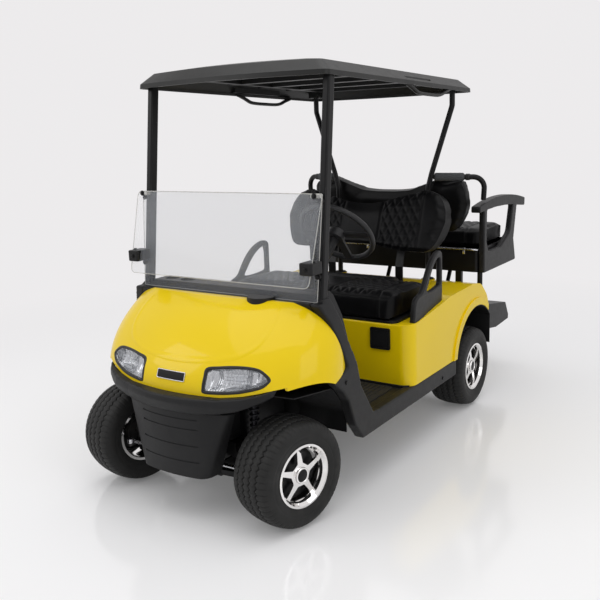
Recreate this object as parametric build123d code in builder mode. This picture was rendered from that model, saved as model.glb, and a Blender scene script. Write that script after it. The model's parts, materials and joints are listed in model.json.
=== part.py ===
"""Four-seat golf cart: two front seats, two rear-facing seats on a bolt-on frame, roof on four struts.

Millimetres, +Z up, the cart's front faces -Y and its left (driver's) side is +X. The origin is on the
ground under the middle of the overall box. Stations run rearward from the front axle, heights run up
from the ground.
"""

from build123d import *
import math
import os

# ---- overall ----
wheelbase = 1669
front_overhang = 262  # front axle to the bumper's nose
rear_overhang = 838  # rear axle to the footplate's rear edge
front_track = 905
half_width = 597  # rear fender flares and side trims
overall_length = front_overhang + wheelbase + rear_overhang
axle_y = front_overhang - overall_length / 2  # the front axle in the model's frame
floor_top_z = 336
floor_wall = 8
seat_front_y = 846  # front face of the body under the front seat
skin = 5  # moulded body panels
gap = 0.3  # between soft parts or moving parts and what they lie against

# ---- wheels ----
tyre_r = 228.6
tyre_width = 205
rear_track = 2 * (half_width - 2) - tyre_width
rim_r = 128  # outside of the rim's barrel, inside of the tyre's bead
rim_wall = 6
spoke_count = 5
hub_r = 36
steer_rest = -12.9  # the front wheels stand turned to the cart's right
kingpin_offset = 59  # kingpin to the wheel's middle, along the stub axle
kingpin_x = front_track / 2 - kingpin_offset


def side(x=0.0):
    """Side view at x: drawn x is the station, drawn y the height, the normal points to the cart's left."""
    return Plane(origin=(x, axle_y, 0), x_dir=(0, 1, 0), z_dir=(1, 0, 0))


def front(y=0.0):
    """Front view at station y: drawn x is the cart's left, drawn y the height, the normal points ahead."""
    return Plane(origin=(0, axle_y + y, 0), x_dir=(1, 0, 0), z_dir=(0, -1, 0))


def level(z=0.0):
    """Plan view at height z: drawn x is the cart's left, drawn y the station, and the normal points up."""
    return Plane(origin=(0, axle_y, z), x_dir=(1, 0, 0), z_dir=(0, 0, 1))


def at(x, y, z):
    """The point x to the left, at station y and height z."""
    return Vector(x, axle_y + y, z)


def tube_start(line):
    """The plane across a line at its start."""
    return Plane(origin=line @ 0, z_dir=line % 0)


def write(name, builder):
    """Labels a finished sub-part and writes its STEP file."""
    builder.part.label = name
    export_step(builder.part, f"parts/{name}.step")


os.makedirs("parts", exist_ok=True)

# ---- front cowl: plan outlines by height ----
cowl_top_z = 893
cowl_bottom_z = 554
cowl_top_y = 152  # rear edge of the cowl's top
cowl_tip_y = 256  # rear tip low on the side
cowl_tip_z = 612
cowl_back_y = 262
# height, nose station, corner x, corner station, x at the rear edge
cowl_sections = (
    (cowl_bottom_z, -206, 440, -108, 569),
    (640, -182, 434, -88, 569),
    (730, -122, 418, -40, 563),
    (810, -34, 392, 30, 545),
    (865, 56, 356, 92, 515),
    (cowl_top_z, 118, 326, 134, 492),
)


# the cowl's lower edge in front view, rising to the sides: x, height
nose_edge = ((0, cowl_bottom_z), (240, 555), (340, 567), (400, 580), (450, 593), (500, 604))
lip_edge = ((0, 484), (150, 485), (240, 493), (325, 515), (376, 535), (416, 551), (459, 571), (500, 596))


def below(edge, drop, front_y, rear_y):
    """All that lies lower than an edge drawn in front view, moved down by drop, between two stations."""
    with BuildPart() as block:
        with BuildSketch(front(front_y)):
            with BuildLine():
                half = [(x, z - drop) for x, z in edge]
                Polyline(*half, (half_width, half[-1][1]), (half_width, 0), (0, 0), close=True)
            make_face()
            mirror(about=Plane.YZ)
        extrude(amount=front_y - rear_y)
    return block.part


def cowl_outline(section, inset=0.0):
    """Closed plan outline of the cowl at one height, drawn inset from the outside."""
    z, nose_y, corner_x, corner_y, rear_x = section
    corner = (corner_x - inset, corner_y + inset)
    rear = (rear_x - inset, cowl_back_y)
    nose = ThreePointArc((-corner[0], corner[1]), (0, nose_y + inset), corner)
    leaving = nose % 1
    flank = TangentArc(corner, rear, tangent=leaving)
    mirror(flank, about=Plane.YZ)
    Line((-rear[0], rear[1]), rear)


with BuildPart() as cowl_outer:
    for section in cowl_sections:
        with BuildSketch(level(section[0])):
            with BuildLine():
                cowl_outline(section)
            make_face()
    loft()

with BuildPart() as cowl_inner:
    for section in cowl_sections:
        with BuildSketch(level(section[0] - skin)):
            with BuildLine():
                cowl_outline(section, skin)
            make_face()
    loft()

arch_front_y = -62
arch_crown_y = 20
arch_crown_z = 603
arch_rear_y = 136
arch_rear_z = 576
brow_bulge_x = 222  # the brow bulges forward over the steering column
brow_bulge_r = 64
lamp_gasket = 9
# the left lamp's outline in front view: x, height
lamp_outline = ((168, 664), (280, 680), (392, 674), (448, 628), (400, 595), (300, 573), (164, 565))
lamp_radii = (26, 250, 70, 20, 90, 250, 20)


def lamp_prism(inset):
    """The left lamp's outline, drawn inset, carried straight back from in front of the nose."""
    with BuildPart() as prism:
        with BuildSketch(front(-front_overhang)):
            with BuildLine():
                FilletPolyline(*lamp_outline, radius=lamp_radii, close=True)
            make_face()
            offset(amount=-inset, mode=Mode.REPLACE)
        extrude(amount=-front_overhang)
    return prism.part


lamp_hole = lamp_prism(0.1)
lamp_window = lamp_prism(lamp_gasket)

with BuildPart() as front_cowl:
    add(cowl_outer.part)
    add(cowl_inner.part, mode=Mode.SUBTRACT)
    # the rear edge leans back down each side to a tip
    with BuildSketch(side(half_width + 20)):
        with BuildLine():
            Polyline(
                (cowl_top_y, 1000),
                (cowl_top_y, cowl_top_z - 8),
                (cowl_tip_y, cowl_tip_z),
                (cowl_tip_y, 500),
                (400, 500),
                (400, 1000),
                close=True,
            )
        make_face()
    extrude(amount=-2 * (half_width + 20), mode=Mode.SUBTRACT)
    # the front wheels' arches and the rising edge behind them
    with BuildSketch(side(half_width + 20)):
        with BuildLine():
            ThreePointArc((arch_front_y, 590), (arch_crown_y, arch_crown_z), (arch_rear_y, arch_rear_z))
            Polyline(
                (arch_rear_y, arch_rear_z),
                (cowl_tip_y + 10, cowl_tip_z + 3),
                (cowl_tip_y + 10, 500),
                (arch_front_y, 500),
                (arch_front_y, 590),
            )
        make_face()
    extrude(amount=-2 * (half_width + 20), mode=Mode.SUBTRACT)
    # the lower edge rises to the sides
    add(below(nose_edge, 0, -front_overhang - 10, arch_front_y), mode=Mode.SUBTRACT)
    # the notch round the brow's bulge
    with BuildSketch(level(cowl_top_z - 40)):
        with Locations((brow_bulge_x, cowl_top_y + 10)):
            Circle(brow_bulge_r)
    extrude(amount=80, mode=Mode.SUBTRACT)
    add(lamp_hole, mode=Mode.SUBTRACT)
    add(mirror(lamp_hole, about=Plane.YZ, mode=Mode.PRIVATE), mode=Mode.SUBTRACT)
write("front_cowl", front_cowl)

# ---- headlamps: a gasket and bowl behind a clear lens that follows the cowl ----
lamp_depth_y = -30  # the bowls' backs
with BuildPart() as lamp_lenses:
    add(cowl_outer.part)
    add(cowl_inner.part, mode=Mode.SUBTRACT)
    add(lamp_window, mode=Mode.INTERSECT)
    mirror(about=Plane.YZ)
write("headlamp_lenses", lamp_lenses)

with BuildPart() as lamp_housings:
    add(cowl_outer.part)
    add(lamp_prism(0.4), mode=Mode.INTERSECT)
    with BuildSketch(front(lamp_depth_y)):
        Rectangle(2 * half_width, 2000)
    extrude(amount=-wheelbase, mode=Mode.SUBTRACT)
    # the bowl behind the lens, walls as thick as the gasket
    with BuildSketch(front(lamp_depth_y - lamp_gasket)):
        with BuildLine():
            FilletPolyline(*lamp_outline, radius=lamp_radii, close=True)
        make_face()
        offset(amount=-lamp_gasket, mode=Mode.REPLACE)
    extrude(amount=front_overhang, mode=Mode.SUBTRACT)
    mirror(about=Plane.YZ)
write("headlamp_housings", lamp_housings)

# ---- bumper lip round the nose, under the cowl ----
lip_bottom_z = 484
# height, nose station, end x, end station
lip_sections = (
    (lip_bottom_z, -244, 486, -74),
    (530, -front_overhang, 498, -62),
    (560, -254, 497, -62),
    (604, -244, 495, -62),
)
lip_wall = 70
with BuildPart() as bumper_lip:
    for z, nose_y, end_x, end_y in lip_sections:
        with BuildSketch(level(z)):
            with BuildLine():
                ThreePointArc((-end_x, end_y), (0, nose_y), (end_x, end_y))
                ThreePointArc((end_x, end_y), (0, nose_y + lip_wall), (-end_x, end_y))
            make_face()
    loft(ruled=True)
    add(below(nose_edge, gap, -front_overhang - 10, arch_front_y + 10), mode=Mode.INTERSECT)
    add(below(lip_edge, 0, -front_overhang - 10, arch_front_y + 10), mode=Mode.SUBTRACT)
write("bumper_lip", bumper_lip)

# ---- ribbed apron below the lip ----
apron_bottom_z = 202
apron_groove = 2.5
apron_groove_zs = (268, 338, 410, 452)
apron_groove_height = 7
apron_groove_half = 150
apron_corner_r = 48
# height, nose station, corner x, corner station, rear x, rear station
apron_sections = ((apron_bottom_z, -236, 178, -214, 196, -110), (lip_bottom_z, -234, 280, -168, 300, -70))


def apron_outline(section, inset):
    """Closed plan outline of the apron at one height, drawn inset."""
    z, nose_y, corner_x, corner_y, rear_x, rear_y = section
    corner = (corner_x - inset, corner_y + inset)
    rear = (rear_x - inset, rear_y)
    ThreePointArc((-corner[0], corner[1]), (0, nose_y + inset), corner)
    Line(corner, rear)
    Line(rear, (-rear[0], rear[1]))
    Line((-rear[0], rear[1]), (-corner[0], corner[1]))




def apron_form(inset, floor_z, top_z):
    """The apron's closed form, drawn inset, with its two front corners rounded."""
    with BuildPart() as form:
        for section, z in zip(apron_sections, (floor_z, top_z)):
            with BuildSketch(level(z)):
                with BuildLine():
                    apron_outline(section, inset)
                make_face()
        loft()
        uprights = [edge for edge in form.edges() if abs((edge % 0.5).Z) > 0.8]
        uprights.sort(key=lambda edge: edge.center().Y)
        fillet(uprights[:2], radius=apron_corner_r - inset)
    return form.part


with BuildPart() as front_apron:
    add(apron_form(0, apron_bottom_z, lip_bottom_z))
    add(apron_form(skin, apron_bottom_z + skin, lip_bottom_z + 1), mode=Mode.SUBTRACT)
    # horizontal grooves across the nose
    for z in apron_groove_zs:
        share = (z - apron_bottom_z) / (lip_bottom_z - apron_bottom_z)
        section = tuple(low + (high - low) * share for low, high in zip(*apron_sections))
        with BuildSketch(level(z)):
            with BuildLine():
                apron_outline(section, -10)
            make_face()
            with BuildLine():
                apron_outline(section, apron_groove)
            make_face(mode=Mode.SUBTRACT)
            Rectangle(2 * apron_groove_half, 2 * front_overhang, mode=Mode.INTERSECT)
        extrude(amount=apron_groove_height, mode=Mode.SUBTRACT)
    # open at the back
    with BuildSketch(front(-135)):
        with Locations((0, (apron_bottom_z + lip_bottom_z) / 2)):
            Rectangle(700, 400)
    extrude(amount=-100, mode=Mode.SUBTRACT)
write("front_apron", front_apron)

# ---- dash with its brow, pockets and cup wells ----
trim_wall = 48
# height, outer x of the side trims, which the dash fits between
trim_half = half_width - 7
trim_widths = (
    (200, trim_half),
    (600, trim_half),
    (720, trim_half - 13),
    (810, trim_half - 34),
    (865, trim_half - 60),
    (905, trim_half - 78),
)
dash_back_y = 345
brow_top_z = 916
pane_foot_y = 183  # the windshield stands on the brow here
pane_thickness = 5
cup_r = 38
cup_depth = 70
cup_xs = (-400, -300)
cup_y = 285
pocket_zs = (690, 830)
pocket_depth = 75
pocket_xs = ((-420, -60), (60, 180))
column_x = 285
# the dash's side profile, its foot left open: station, height
dash_profile = (
    (cowl_tip_y + 4, 600),
    (cowl_tip_y + 0.5, cowl_tip_z),
    (cowl_top_y + 0.5, cowl_top_z - 8),
    (cowl_top_y + 0.5, cowl_top_z),
    (pane_foot_y + 14, cowl_top_z),
    (pane_foot_y + 40, brow_top_z),
    (dash_back_y - 20, brow_top_z),
    (dash_back_y, brow_top_z - 20),
    (dash_back_y + 8, 640),
    (dash_back_y - 40, 600),
)


def dash_form(inset):
    """The dash's closed form between the side trims, drawn inset and lengthened below by as much."""
    with BuildPart() as form:
        with BuildSketch(side(-half_width)):
            with BuildLine():
                Polyline(*dash_profile, close=True)
            make_face()
            offset(amount=-inset, mode=Mode.REPLACE)
        extrude(amount=2 * half_width)
        with BuildSketch(front(0)):
            with BuildLine():
                edge = [(x - trim_wall - gap - inset, z) for z, x in trim_widths]
                edge.append((edge[-1][0], 1000))
                Polyline(*edge, *((-x, z) for x, z in reversed(edge)), close=True)
            make_face()
        extrude(amount=-400, mode=Mode.INTERSECT)
    return form.part


with BuildPart() as dash_cavity:
    add(dash_form(skin))
    with BuildSketch(level(600 + skin)):
        with Locations((0, (cowl_tip_y + dash_back_y) / 2 - 12)):
            Rectangle(2 * (590 - trim_wall - gap - skin), 34)
    extrude(amount=-20)
    # what stays round the pockets and the cup wells
    for left, right in pocket_xs:
        with BuildSketch(front(dash_back_y + 20)):
            with Locations(((left + right) / 2, sum(pocket_zs) / 2)):
                RectangleRounded(right - left + 2 * skin, pocket_zs[1] - pocket_zs[0] + 2 * skin, 24 + skin)
        extrude(amount=pocket_depth + 20 + skin, mode=Mode.SUBTRACT)
    with BuildSketch(level(brow_top_z)):
        with Locations(*((x, cup_y) for x in cup_xs)):
            Circle(cup_r + skin)
    extrude(amount=-cup_depth - skin, mode=Mode.SUBTRACT)

with BuildPart() as dash:
    add(dash_form(0))
    with BuildSketch(level(cowl_top_z - 39)):
        with Locations((brow_bulge_x, cowl_top_y + 10)):
            Circle(brow_bulge_r - 0.5)
    extrude(amount=39 + 12)
    add(dash_cavity.part, mode=Mode.SUBTRACT)
    # the groove that takes the windshield's foot
    with BuildSketch(level(cowl_top_z - 1)):
        with Locations((0, pane_foot_y + pane_thickness / 2)):
            Rectangle(2 * half_width, pane_thickness + 5)
    extrude(amount=brow_top_z - cowl_top_z, mode=Mode.SUBTRACT)
    for left, right in pocket_xs:
        with BuildSketch(front(dash_back_y + 20)):
            with Locations(((left + right) / 2, sum(pocket_zs) / 2)):
                RectangleRounded(right - left, pocket_zs[1] - pocket_zs[0], 24)
        extrude(amount=pocket_depth + 20, mode=Mode.SUBTRACT)
    with BuildSketch(level(brow_top_z)):
        with Locations(*((x, cup_y) for x in cup_xs)):
            Circle(cup_r)
    extrude(amount=-cup_depth, mode=Mode.SUBTRACT)
write("dash", dash)

# ---- side trims: strip behind the cowl's edge, flank behind the wheel and rocker, in one moulding ----
rocker_top_z = 343
rocker_bottom_z = 255
rear_arch_y = wheelbase + 11
rear_arch_z = 300
rear_arch_r = 285
rocker_end_y = rear_arch_y - math.sqrt(rear_arch_r**2 - (rocker_top_z - rear_arch_z) ** 2)
with BuildPart() as side_trims:
    with BuildSketch(side(400)):
        with BuildLine():
            Polyline(
                (pane_foot_y + 14, trim_widths[-1][0]),
                (pane_foot_y + 11, cowl_top_z - 1),
                (cowl_top_y + 4, cowl_top_z - 1),
                (cowl_top_y + 0.5, cowl_top_z - 8),
                (cowl_tip_y + 0.5, cowl_tip_z),
                (arch_rear_y + 4, arch_rear_z - 3),
                (205, 522),
                (251, 467),
                (305, 336),
                (371, rocker_bottom_z),
                (rocker_end_y, rocker_bottom_z),
                (rocker_end_y, rocker_top_z),
                (520, rocker_top_z),
                (465, 350),
                (360, 503),
                (325, 630),
                (283, 720),
                (250, trim_widths[-1][0]),
                close=True,
            )
        make_face()
    extrude(amount=200)
    with BuildSketch(front(-100)):
        with BuildLine():
            outer = [(x, z) for z, x in trim_widths]
            inner = [(x - trim_wall, z) for z, x in reversed(trim_widths)]
            Polyline(*outer, *inner, close=True)
        make_face()
    extrude(amount=-2000, mode=Mode.INTERSECT)
    mirror(about=Plane.YZ)
write("side_trims", side_trims)

# ---- floor pan and toe board, ribbed mat ----
floor_half = trim_half - trim_wall - gap
toe_foot_y = 395
with BuildPart() as floor_pan:
    with BuildSketch(side(-floor_half)):
        with BuildLine():
            FilletPolyline(
                (cowl_tip_y + 34, 598),
                (toe_foot_y, floor_top_z),
                (seat_front_y, floor_top_z),
                (seat_front_y, floor_top_z - floor_wall),
                (toe_foot_y - 6, floor_top_z - floor_wall),
                (cowl_tip_y + 24, 598),
                radius=(20, 4, 4, 20),
            )
            Line((cowl_tip_y + 24, 598), (cowl_tip_y + 34, 598))
        make_face()
    extrude(amount=2 * floor_half)
write("floor_pan", floor_pan)

mat_half = 500
mat_thickness = 4
mat_rib = 3
mat_rib_pitch = 24
mat_front_y = toe_foot_y + 45
mat_rear_y = seat_front_y - 12
with BuildPart() as floor_mat:
    with BuildSketch(level(floor_top_z)):
        with Locations((0, (mat_front_y + mat_rear_y) / 2)):
            RectangleRounded(2 * mat_half, mat_rear_y - mat_front_y, 20)
    extrude(amount=mat_thickness)
    with BuildSketch(level(floor_top_z + mat_thickness)):
        with Locations((0, (mat_front_y + mat_rear_y) / 2)):
            with GridLocations(mat_rib_pitch, 1, int(2 * (mat_half - 30) / mat_rib_pitch), 1):
                Rectangle(mat_rib_pitch / 2, mat_rear_y - mat_front_y - 30)
    extrude(amount=mat_rib)
write("floor_mat", floor_mat)

# ---- chassis: two rails that rise over the rear axle, crossmembers, the front subframe ----
rail_x = 215
rail_width = 50
rail_depth = 60
rail_z = floor_top_z - floor_wall - rail_depth / 2
rail_front_y = -86
rail_rear_y = 1890
kick_z = 462
cross_ys = (350, 700, 1050, 1330)
subframe_half = 120
subframe_front_y = -50
subframe_rear_y = 110
subframe_bottom_z = 140
subframe_wall = 12
tower_z = 520
tower_half = 292
tower_wall = 12
tower_width = 60
shock_x = 264
shock_y = 18
shock_r = 22
rear_shock_x = 280
spring_width = 37.4
spring_eye_r = 14
spring_front = (1390, 284)  # station and height of the leaf springs' eyes
spring_rear = (1862, 330)
hanger_wall = 6
with BuildPart() as chassis_frame:
    with BuildSketch(side(rail_x - rail_width / 2)):
        half_depth = rail_depth / 2
        with BuildLine():
            FilletPolyline(
                (rail_front_y, rail_z + half_depth),
                (1340, rail_z + half_depth),
                (1450, kick_z + half_depth),
                (rail_rear_y, kick_z + half_depth),
                (rail_rear_y, kick_z - half_depth),
                (1470, kick_z - half_depth),
                (1360, rail_z - half_depth),
                (rail_front_y, rail_z - half_depth),
                radius=(30, 30, 2, 2, 30, 30),
            )
            Line((rail_front_y, rail_z - half_depth), (rail_front_y, rail_z + half_depth))
        make_face()
    extrude(amount=rail_width)
    mirror(about=Plane.YZ)
    for y in cross_ys:
        with BuildSketch(side(-rail_x)):
            with Locations((y, rail_z)):
                Rectangle(40, rail_depth - 12)
        extrude(amount=2 * rail_x)
    # outriggers under the floor
    for y in (450, 800):
        with BuildSketch(side(-floor_half)):
            with Locations((y, rail_z + 8)):
                Rectangle(30, rail_depth - 16)
        extrude(amount=2 * floor_half)
    for y in (1520, rail_rear_y - 20):
        with BuildSketch(side(-rail_x)):
            with Locations((y, kick_z)):
                Rectangle(40, rail_depth - 12)
        extrude(amount=2 * rail_x)
    # hangers on both sides of the leaf springs' eyes
    for x_sign in (1, -1):
        for x_edge in (spring_width / 2 + gap, -spring_width / 2 - gap - hanger_wall):
            with BuildSketch(side(x_sign * rail_x + x_edge)):
                for (y, z), top in ((spring_front, rail_z + 30), (spring_rear, kick_z)):
                    with Locations((y, (z - 16 + top) / 2)):
                        Rectangle(44, top - z + 16)
            extrude(amount=hanger_wall)
        # ledges for the rear shock absorbers
        with BuildSketch(level(kick_z - 7)):
            with Locations((x_sign * (rail_x + 44), wheelbase)):
                Rectangle(2 * (rear_shock_x - rail_x - 22), 44)
        extrude(amount=12)
    # the front subframe: two walls that hang between the rails and carry the arms
    for y in (subframe_front_y + subframe_wall, subframe_rear_y):
        with BuildSketch(front(y)):
            with BuildLine():
                Polyline(
                    (-subframe_half, subframe_bottom_z),
                    (subframe_half, subframe_bottom_z),
                    (subframe_half, 240),
                    (rail_x, rail_z - 20),
                    (rail_x, rail_z + 20),
                    (-rail_x, rail_z + 20),
                    (-rail_x, rail_z - 20),
                    (-subframe_half, 240),
                    close=True,
                )
            make_face()
        extrude(amount=subframe_wall)
    # side plates between those walls take the lower arms
    with BuildSketch(side(subframe_half - subframe_wall)):
        with Locations(((subframe_front_y + subframe_rear_y) / 2, subframe_bottom_z + 30)):
            Rectangle(subframe_rear_y - subframe_front_y, 60)
    extrude(amount=subframe_wall)
    with BuildSketch(side(-subframe_half)):
        with Locations(((subframe_front_y + subframe_rear_y) / 2, subframe_bottom_z + 30)):
            Rectangle(subframe_rear_y - subframe_front_y, 60)
    extrude(amount=subframe_wall)
    # towers for the front shock absorbers, joined by a shelf
    with BuildSketch(front(shock_y + tower_width / 2)):
        with BuildLine():
            Polyline(
                (rail_x - 25, rail_z),
                (rail_x + 20, rail_z),
                (rail_x + 20, tower_z - tower_wall),
                (tower_half, tower_z - tower_wall),
                (tower_half, tower_z),
                (-tower_half, tower_z),
                (-tower_half, tower_z - tower_wall),
                (-rail_x - 20, tower_z - tower_wall),
                (-rail_x - 20, rail_z),
                (25 - rail_x, rail_z),
                (25 - rail_x, tower_z - 40),
                (rail_x - 25, tower_z - 40),
                close=True,
            )
        make_face()
    extrude(amount=tower_width)
write("chassis_frame", chassis_frame)

# ---- rear body: a moulded shell, seat recess on top, flared arches at the sides ----
body_half = half_width - 8
body_bottom_z = rocker_top_z + gap
deck_z = 716
recess_z = 650
recess_half = 522
recess_rear_y = 1312
hatch_half = 430
hatch_front_y = 910
hatch_rear_y = 1270
rear_strut_y = 1676
rear_strut_foot_x = 296
flare_width = 42
fender_tail_y = 1893  # the arches' rear edges
liner_wall = 4
liner_inner_x = 372
tail_y = 1925
# the body's profile from the foot of its front face, over the deck, to the tail: station, height
body_profile = (
    (seat_front_y, body_bottom_z),
    (seat_front_y, recess_z + 4),
    (935, recess_z + 6),
    (1220, 692),
    (1340, 708),
    (1640, deck_z),
    (1752, 700),
    (1846, 618),
    (1898, 511),
    (tail_y, 312),
)
# rounding at each of those points but the first and last
body_radii = (12, 60, 200, 200, 160, 120, 120, 160)
body_corner_r = 66


def body_form(inset):
    """The rear body's closed form, drawn inset: its side profile, rounded in plan at the front and tail."""
    with BuildPart() as form:
        with BuildSketch(side(-half_width)):
            with BuildLine():
                FilletPolyline(*body_profile, radius=body_radii)
                Line((tail_y, 312), (seat_front_y, 312))
                Line((seat_front_y, 312), (seat_front_y, body_bottom_z))
            make_face()
            offset(amount=-inset, mode=Mode.REPLACE)
        extrude(amount=2 * half_width)
        with BuildSketch(level(0)):
            with Locations((0, (seat_front_y + tail_y) / 2)):
                long_side = tail_y - seat_front_y - 2 * inset
                RectangleRounded(2 * (body_half - inset), long_side, body_corner_r - inset)
        extrude(amount=1000, mode=Mode.INTERSECT)
    return form.part


def arch_disc(radius, half_from, half_to):
    """A disc round the rear arch's centre on both sides, half_from to half_to off the middle, tail cut off."""
    with BuildPart() as disc:
        with BuildSketch(side(half_from)):
            with Locations((rear_arch_y, rear_arch_z)):
                Circle(radius)
            with Locations((fender_tail_y + radius, rear_arch_z)):
                Rectangle(2 * radius, 2 * radius, mode=Mode.SUBTRACT)
        extrude(amount=half_to - half_from)
        mirror(about=Plane.YZ)
    return disc.part


arm_x = rail_x
arm_width = 40
arm_hole = 5
with BuildPart() as rear_body:
    add(body_form(0.0))
    # the flare stands proud of the side as a band that follows the arch
    with BuildSketch(side(body_half - 1)):
        with BuildLine():
            FilletPolyline(*body_profile, radius=body_radii)
            Line((tail_y, 312), (seat_front_y, 312))
            Line((seat_front_y, 312), (seat_front_y, body_bottom_z))
        make_face()
        offset(amount=-body_corner_r / 4, mode=Mode.REPLACE)
        with Locations((rear_arch_y, rear_arch_z)):
            Circle(rear_arch_r + flare_width, mode=Mode.INTERSECT)
        # it fades before the body's rounded tail
        with Locations((tail_y - body_corner_r + 200, rear_arch_z)):
            Rectangle(400, 1000, mode=Mode.SUBTRACT)
    extrude(amount=half_width - body_half + 1)
    mirror(about=Plane.YZ)
    add(body_form(skin), mode=Mode.SUBTRACT)
    add(arch_disc(rear_arch_r, 300, half_width + 5), mode=Mode.SUBTRACT)
    # holes in the tail for the rear seat's arms
    with BuildSketch(front(fender_tail_y - 30)):
        with Locations((arm_x, kick_z), (-arm_x, kick_z)):
            Rectangle(arm_width + 2 * arm_hole, rail_depth + 2 * arm_hole)
    extrude(amount=-200, mode=Mode.SUBTRACT)
    # open underneath
    with BuildSketch(level(body_bottom_z)):
        with Locations((0, (seat_front_y + rear_arch_y) / 2)):
            Rectangle(2 * half_width + 10, rear_arch_y - seat_front_y + 10)
    extrude(amount=-100, mode=Mode.SUBTRACT)
    with BuildSketch(level(body_bottom_z)):
        with Locations((0, tail_y - skin - 151)):
            Rectangle(2 * (body_half - skin), 300)
    extrude(amount=-100, mode=Mode.SUBTRACT)
    # the recess that takes the seat and the hatch over the batteries
    with BuildSketch(level(recess_z)):
        with Locations((0, (recess_rear_y + 700) / 2)):
            Rectangle(2 * recess_half, recess_rear_y - 700)
    extrude(amount=200, mode=Mode.SUBTRACT)
    with BuildSketch(level(recess_z)):
        with Locations((0, (recess_rear_y + seat_front_y + skin) / 2)):
            Rectangle(2 * recess_half + skin, recess_rear_y - seat_front_y - skin - 6)
    extrude(amount=-skin)
    with BuildSketch(level(recess_z)):
        with Locations((0, (hatch_front_y + hatch_rear_y) / 2)):
            RectangleRounded(2 * hatch_half, hatch_rear_y - hatch_front_y, 30)
    extrude(amount=-20, mode=Mode.SUBTRACT)
    # walls of the recess
    with BuildSketch(side(recess_half)):
        with BuildLine():
            Polyline(
                (930, recess_z - skin),
                (1218, 687),
                (recess_rear_y, 700),
                (recess_rear_y, recess_z - skin),
                close=True,
            )
        make_face()
    extrude(amount=skin)
    mirror(about=Plane.YZ)
    # bosses under the roof's rear struts
    with BuildSketch(level(deck_z + 1)):
        with Locations((rear_strut_foot_x, rear_strut_y), (-rear_strut_foot_x, rear_strut_y)):
            Circle(40)
    extrude(amount=-14)
write("rear_body", rear_body)

# ---- charge port on the body's front face ----
port_x = body_half - 165
port_z = 575
port_size = 108
with BuildPart() as charge_port:
    with BuildSketch(front(seat_front_y)):
        with Locations((port_x, port_z)):
            RectangleRounded(port_size, port_size, 8)
    extrude(amount=9)
    # a groove round the flap, with a finger notch under it
    with BuildSketch(front(seat_front_y - 9)):
        with Locations((port_x, port_z)):
            RectangleRounded(port_size - 22, port_size - 22, 7)
            RectangleRounded(port_size - 26, port_size - 26, 5, mode=Mode.SUBTRACT)
        with Locations((port_x, port_z - port_size / 2 + 14)):
            RectangleRounded(26, 8, 3)
    extrude(amount=-4, mode=Mode.SUBTRACT)
write("charge_port", charge_port)

# ---- battery pack, one plain block on the crossmembers ----
battery_size = (600, 340, 270)
battery_y = 1090
with BuildPart() as battery_block:
    with BuildSketch(level(rail_z + rail_depth / 2)):
        with Locations((0, battery_y)):
            RectangleRounded(battery_size[0], battery_size[1], 12)
    extrude(amount=battery_size[2])
write("battery_block", battery_block)

# ---- wheels and tyres ----
# half-profile of the tyre: offset from the middle, radius
tyre_side = (
    (62, rim_r),
    (88, rim_r + 8),
    (tyre_width / 2, 176),
    (tyre_width / 2 - 5, 207),
    (84, tyre_r - 4),
)
# the wheel's barrel: offset from the middle, positive outboard, and radius
barrel_profile = (
    (-86, rim_r - 10),
    (-86, rim_r + 6),
    (-62, rim_r - gap),
    (62, rim_r - gap),
    (88, rim_r + 7),
    (96, rim_r + 5),
    (98, rim_r - 4),
    (84, rim_r - 14),
    (58, rim_r - 16),
    (54, rim_r - rim_wall),
    (-60, rim_r - rim_wall),
)
# the wheel's dished face from its middle out to the barrel
face_profile = (
    (40, 0),
    (78, 0),
    (80, 26),
    (74, hub_r),
    (72, 60),
    (64, rim_r - 14),
    (56, rim_r - 14),
    (54, 60),
    (48, 44),
    (40, 44),
)
# one of the openings between the spokes: distance from the middle, half width there
spoke_window = ((47, 17), (74, 41), (97, 58), (109, 30), (109, -30), (97, -58), (74, -41), (47, -17))


def steered(x_sign, outboard):
    """The point outboard of a front wheel's kingpin along its stub axle, with the stub axle's direction."""
    turn = math.radians(steer_rest)
    axis = Vector(x_sign * math.cos(turn), x_sign * math.sin(turn), 0)
    return at(x_sign * kingpin_x, 0, tyre_r) + axis * outboard, axis


def hub_planes():
    """Each wheel's plane by name: origin at the wheel's middle, normal pointing outboard."""
    planes = {}
    for side_name, x_sign in (("left", 1), ("right", -1)):
        centre, axis = steered(x_sign, kingpin_offset)
        planes["front_" + side_name] = Plane(origin=centre, x_dir=(0, 0, 1), z_dir=axis)
        rear = at(x_sign * rear_track / 2, wheelbase, tyre_r)
        planes["rear_" + side_name] = Plane(origin=rear, x_dir=(0, 0, 1), z_dir=(x_sign, 0, 0))
    return planes


for corner_name, hub in hub_planes().items():
    half_section = Plane(origin=hub.origin, x_dir=hub.z_dir, z_dir=hub.x_dir)
    axle_line = Axis(hub.origin, hub.z_dir)
    with BuildPart() as tyre:
        with BuildSketch(half_section):
            with BuildLine():
                Polyline(*tyre_side)
                ThreePointArc(tyre_side[-1], (0, tyre_r), (-tyre_side[-1][0], tyre_side[-1][1]))
                Polyline(*((-x, r) for x, r in tyre_side))
                Line((-tyre_side[0][0], rim_r), tyre_side[0])
            make_face()
        revolve(axis=axle_line)
    write("tyre_" + corner_name, tyre)

    with BuildPart() as wheel:
        with BuildSketch(half_section):
            with BuildLine():
                Polyline(*barrel_profile, close=True)
            make_face()
        revolve(axis=axle_line)
        with BuildSketch(half_section):
            with BuildLine():
                Polyline(*face_profile, close=True)
            make_face()
        revolve(axis=axle_line)
        with BuildSketch(hub.offset(30)) as windows:
            with PolarLocations(0, spoke_count, start_angle=180 / spoke_count):
                Polygon(*spoke_window, align=None)
            fillet(windows.vertices(), radius=6)
        extrude(amount=60, mode=Mode.SUBTRACT)
    write("wheel_" + corner_name, wheel)

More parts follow.
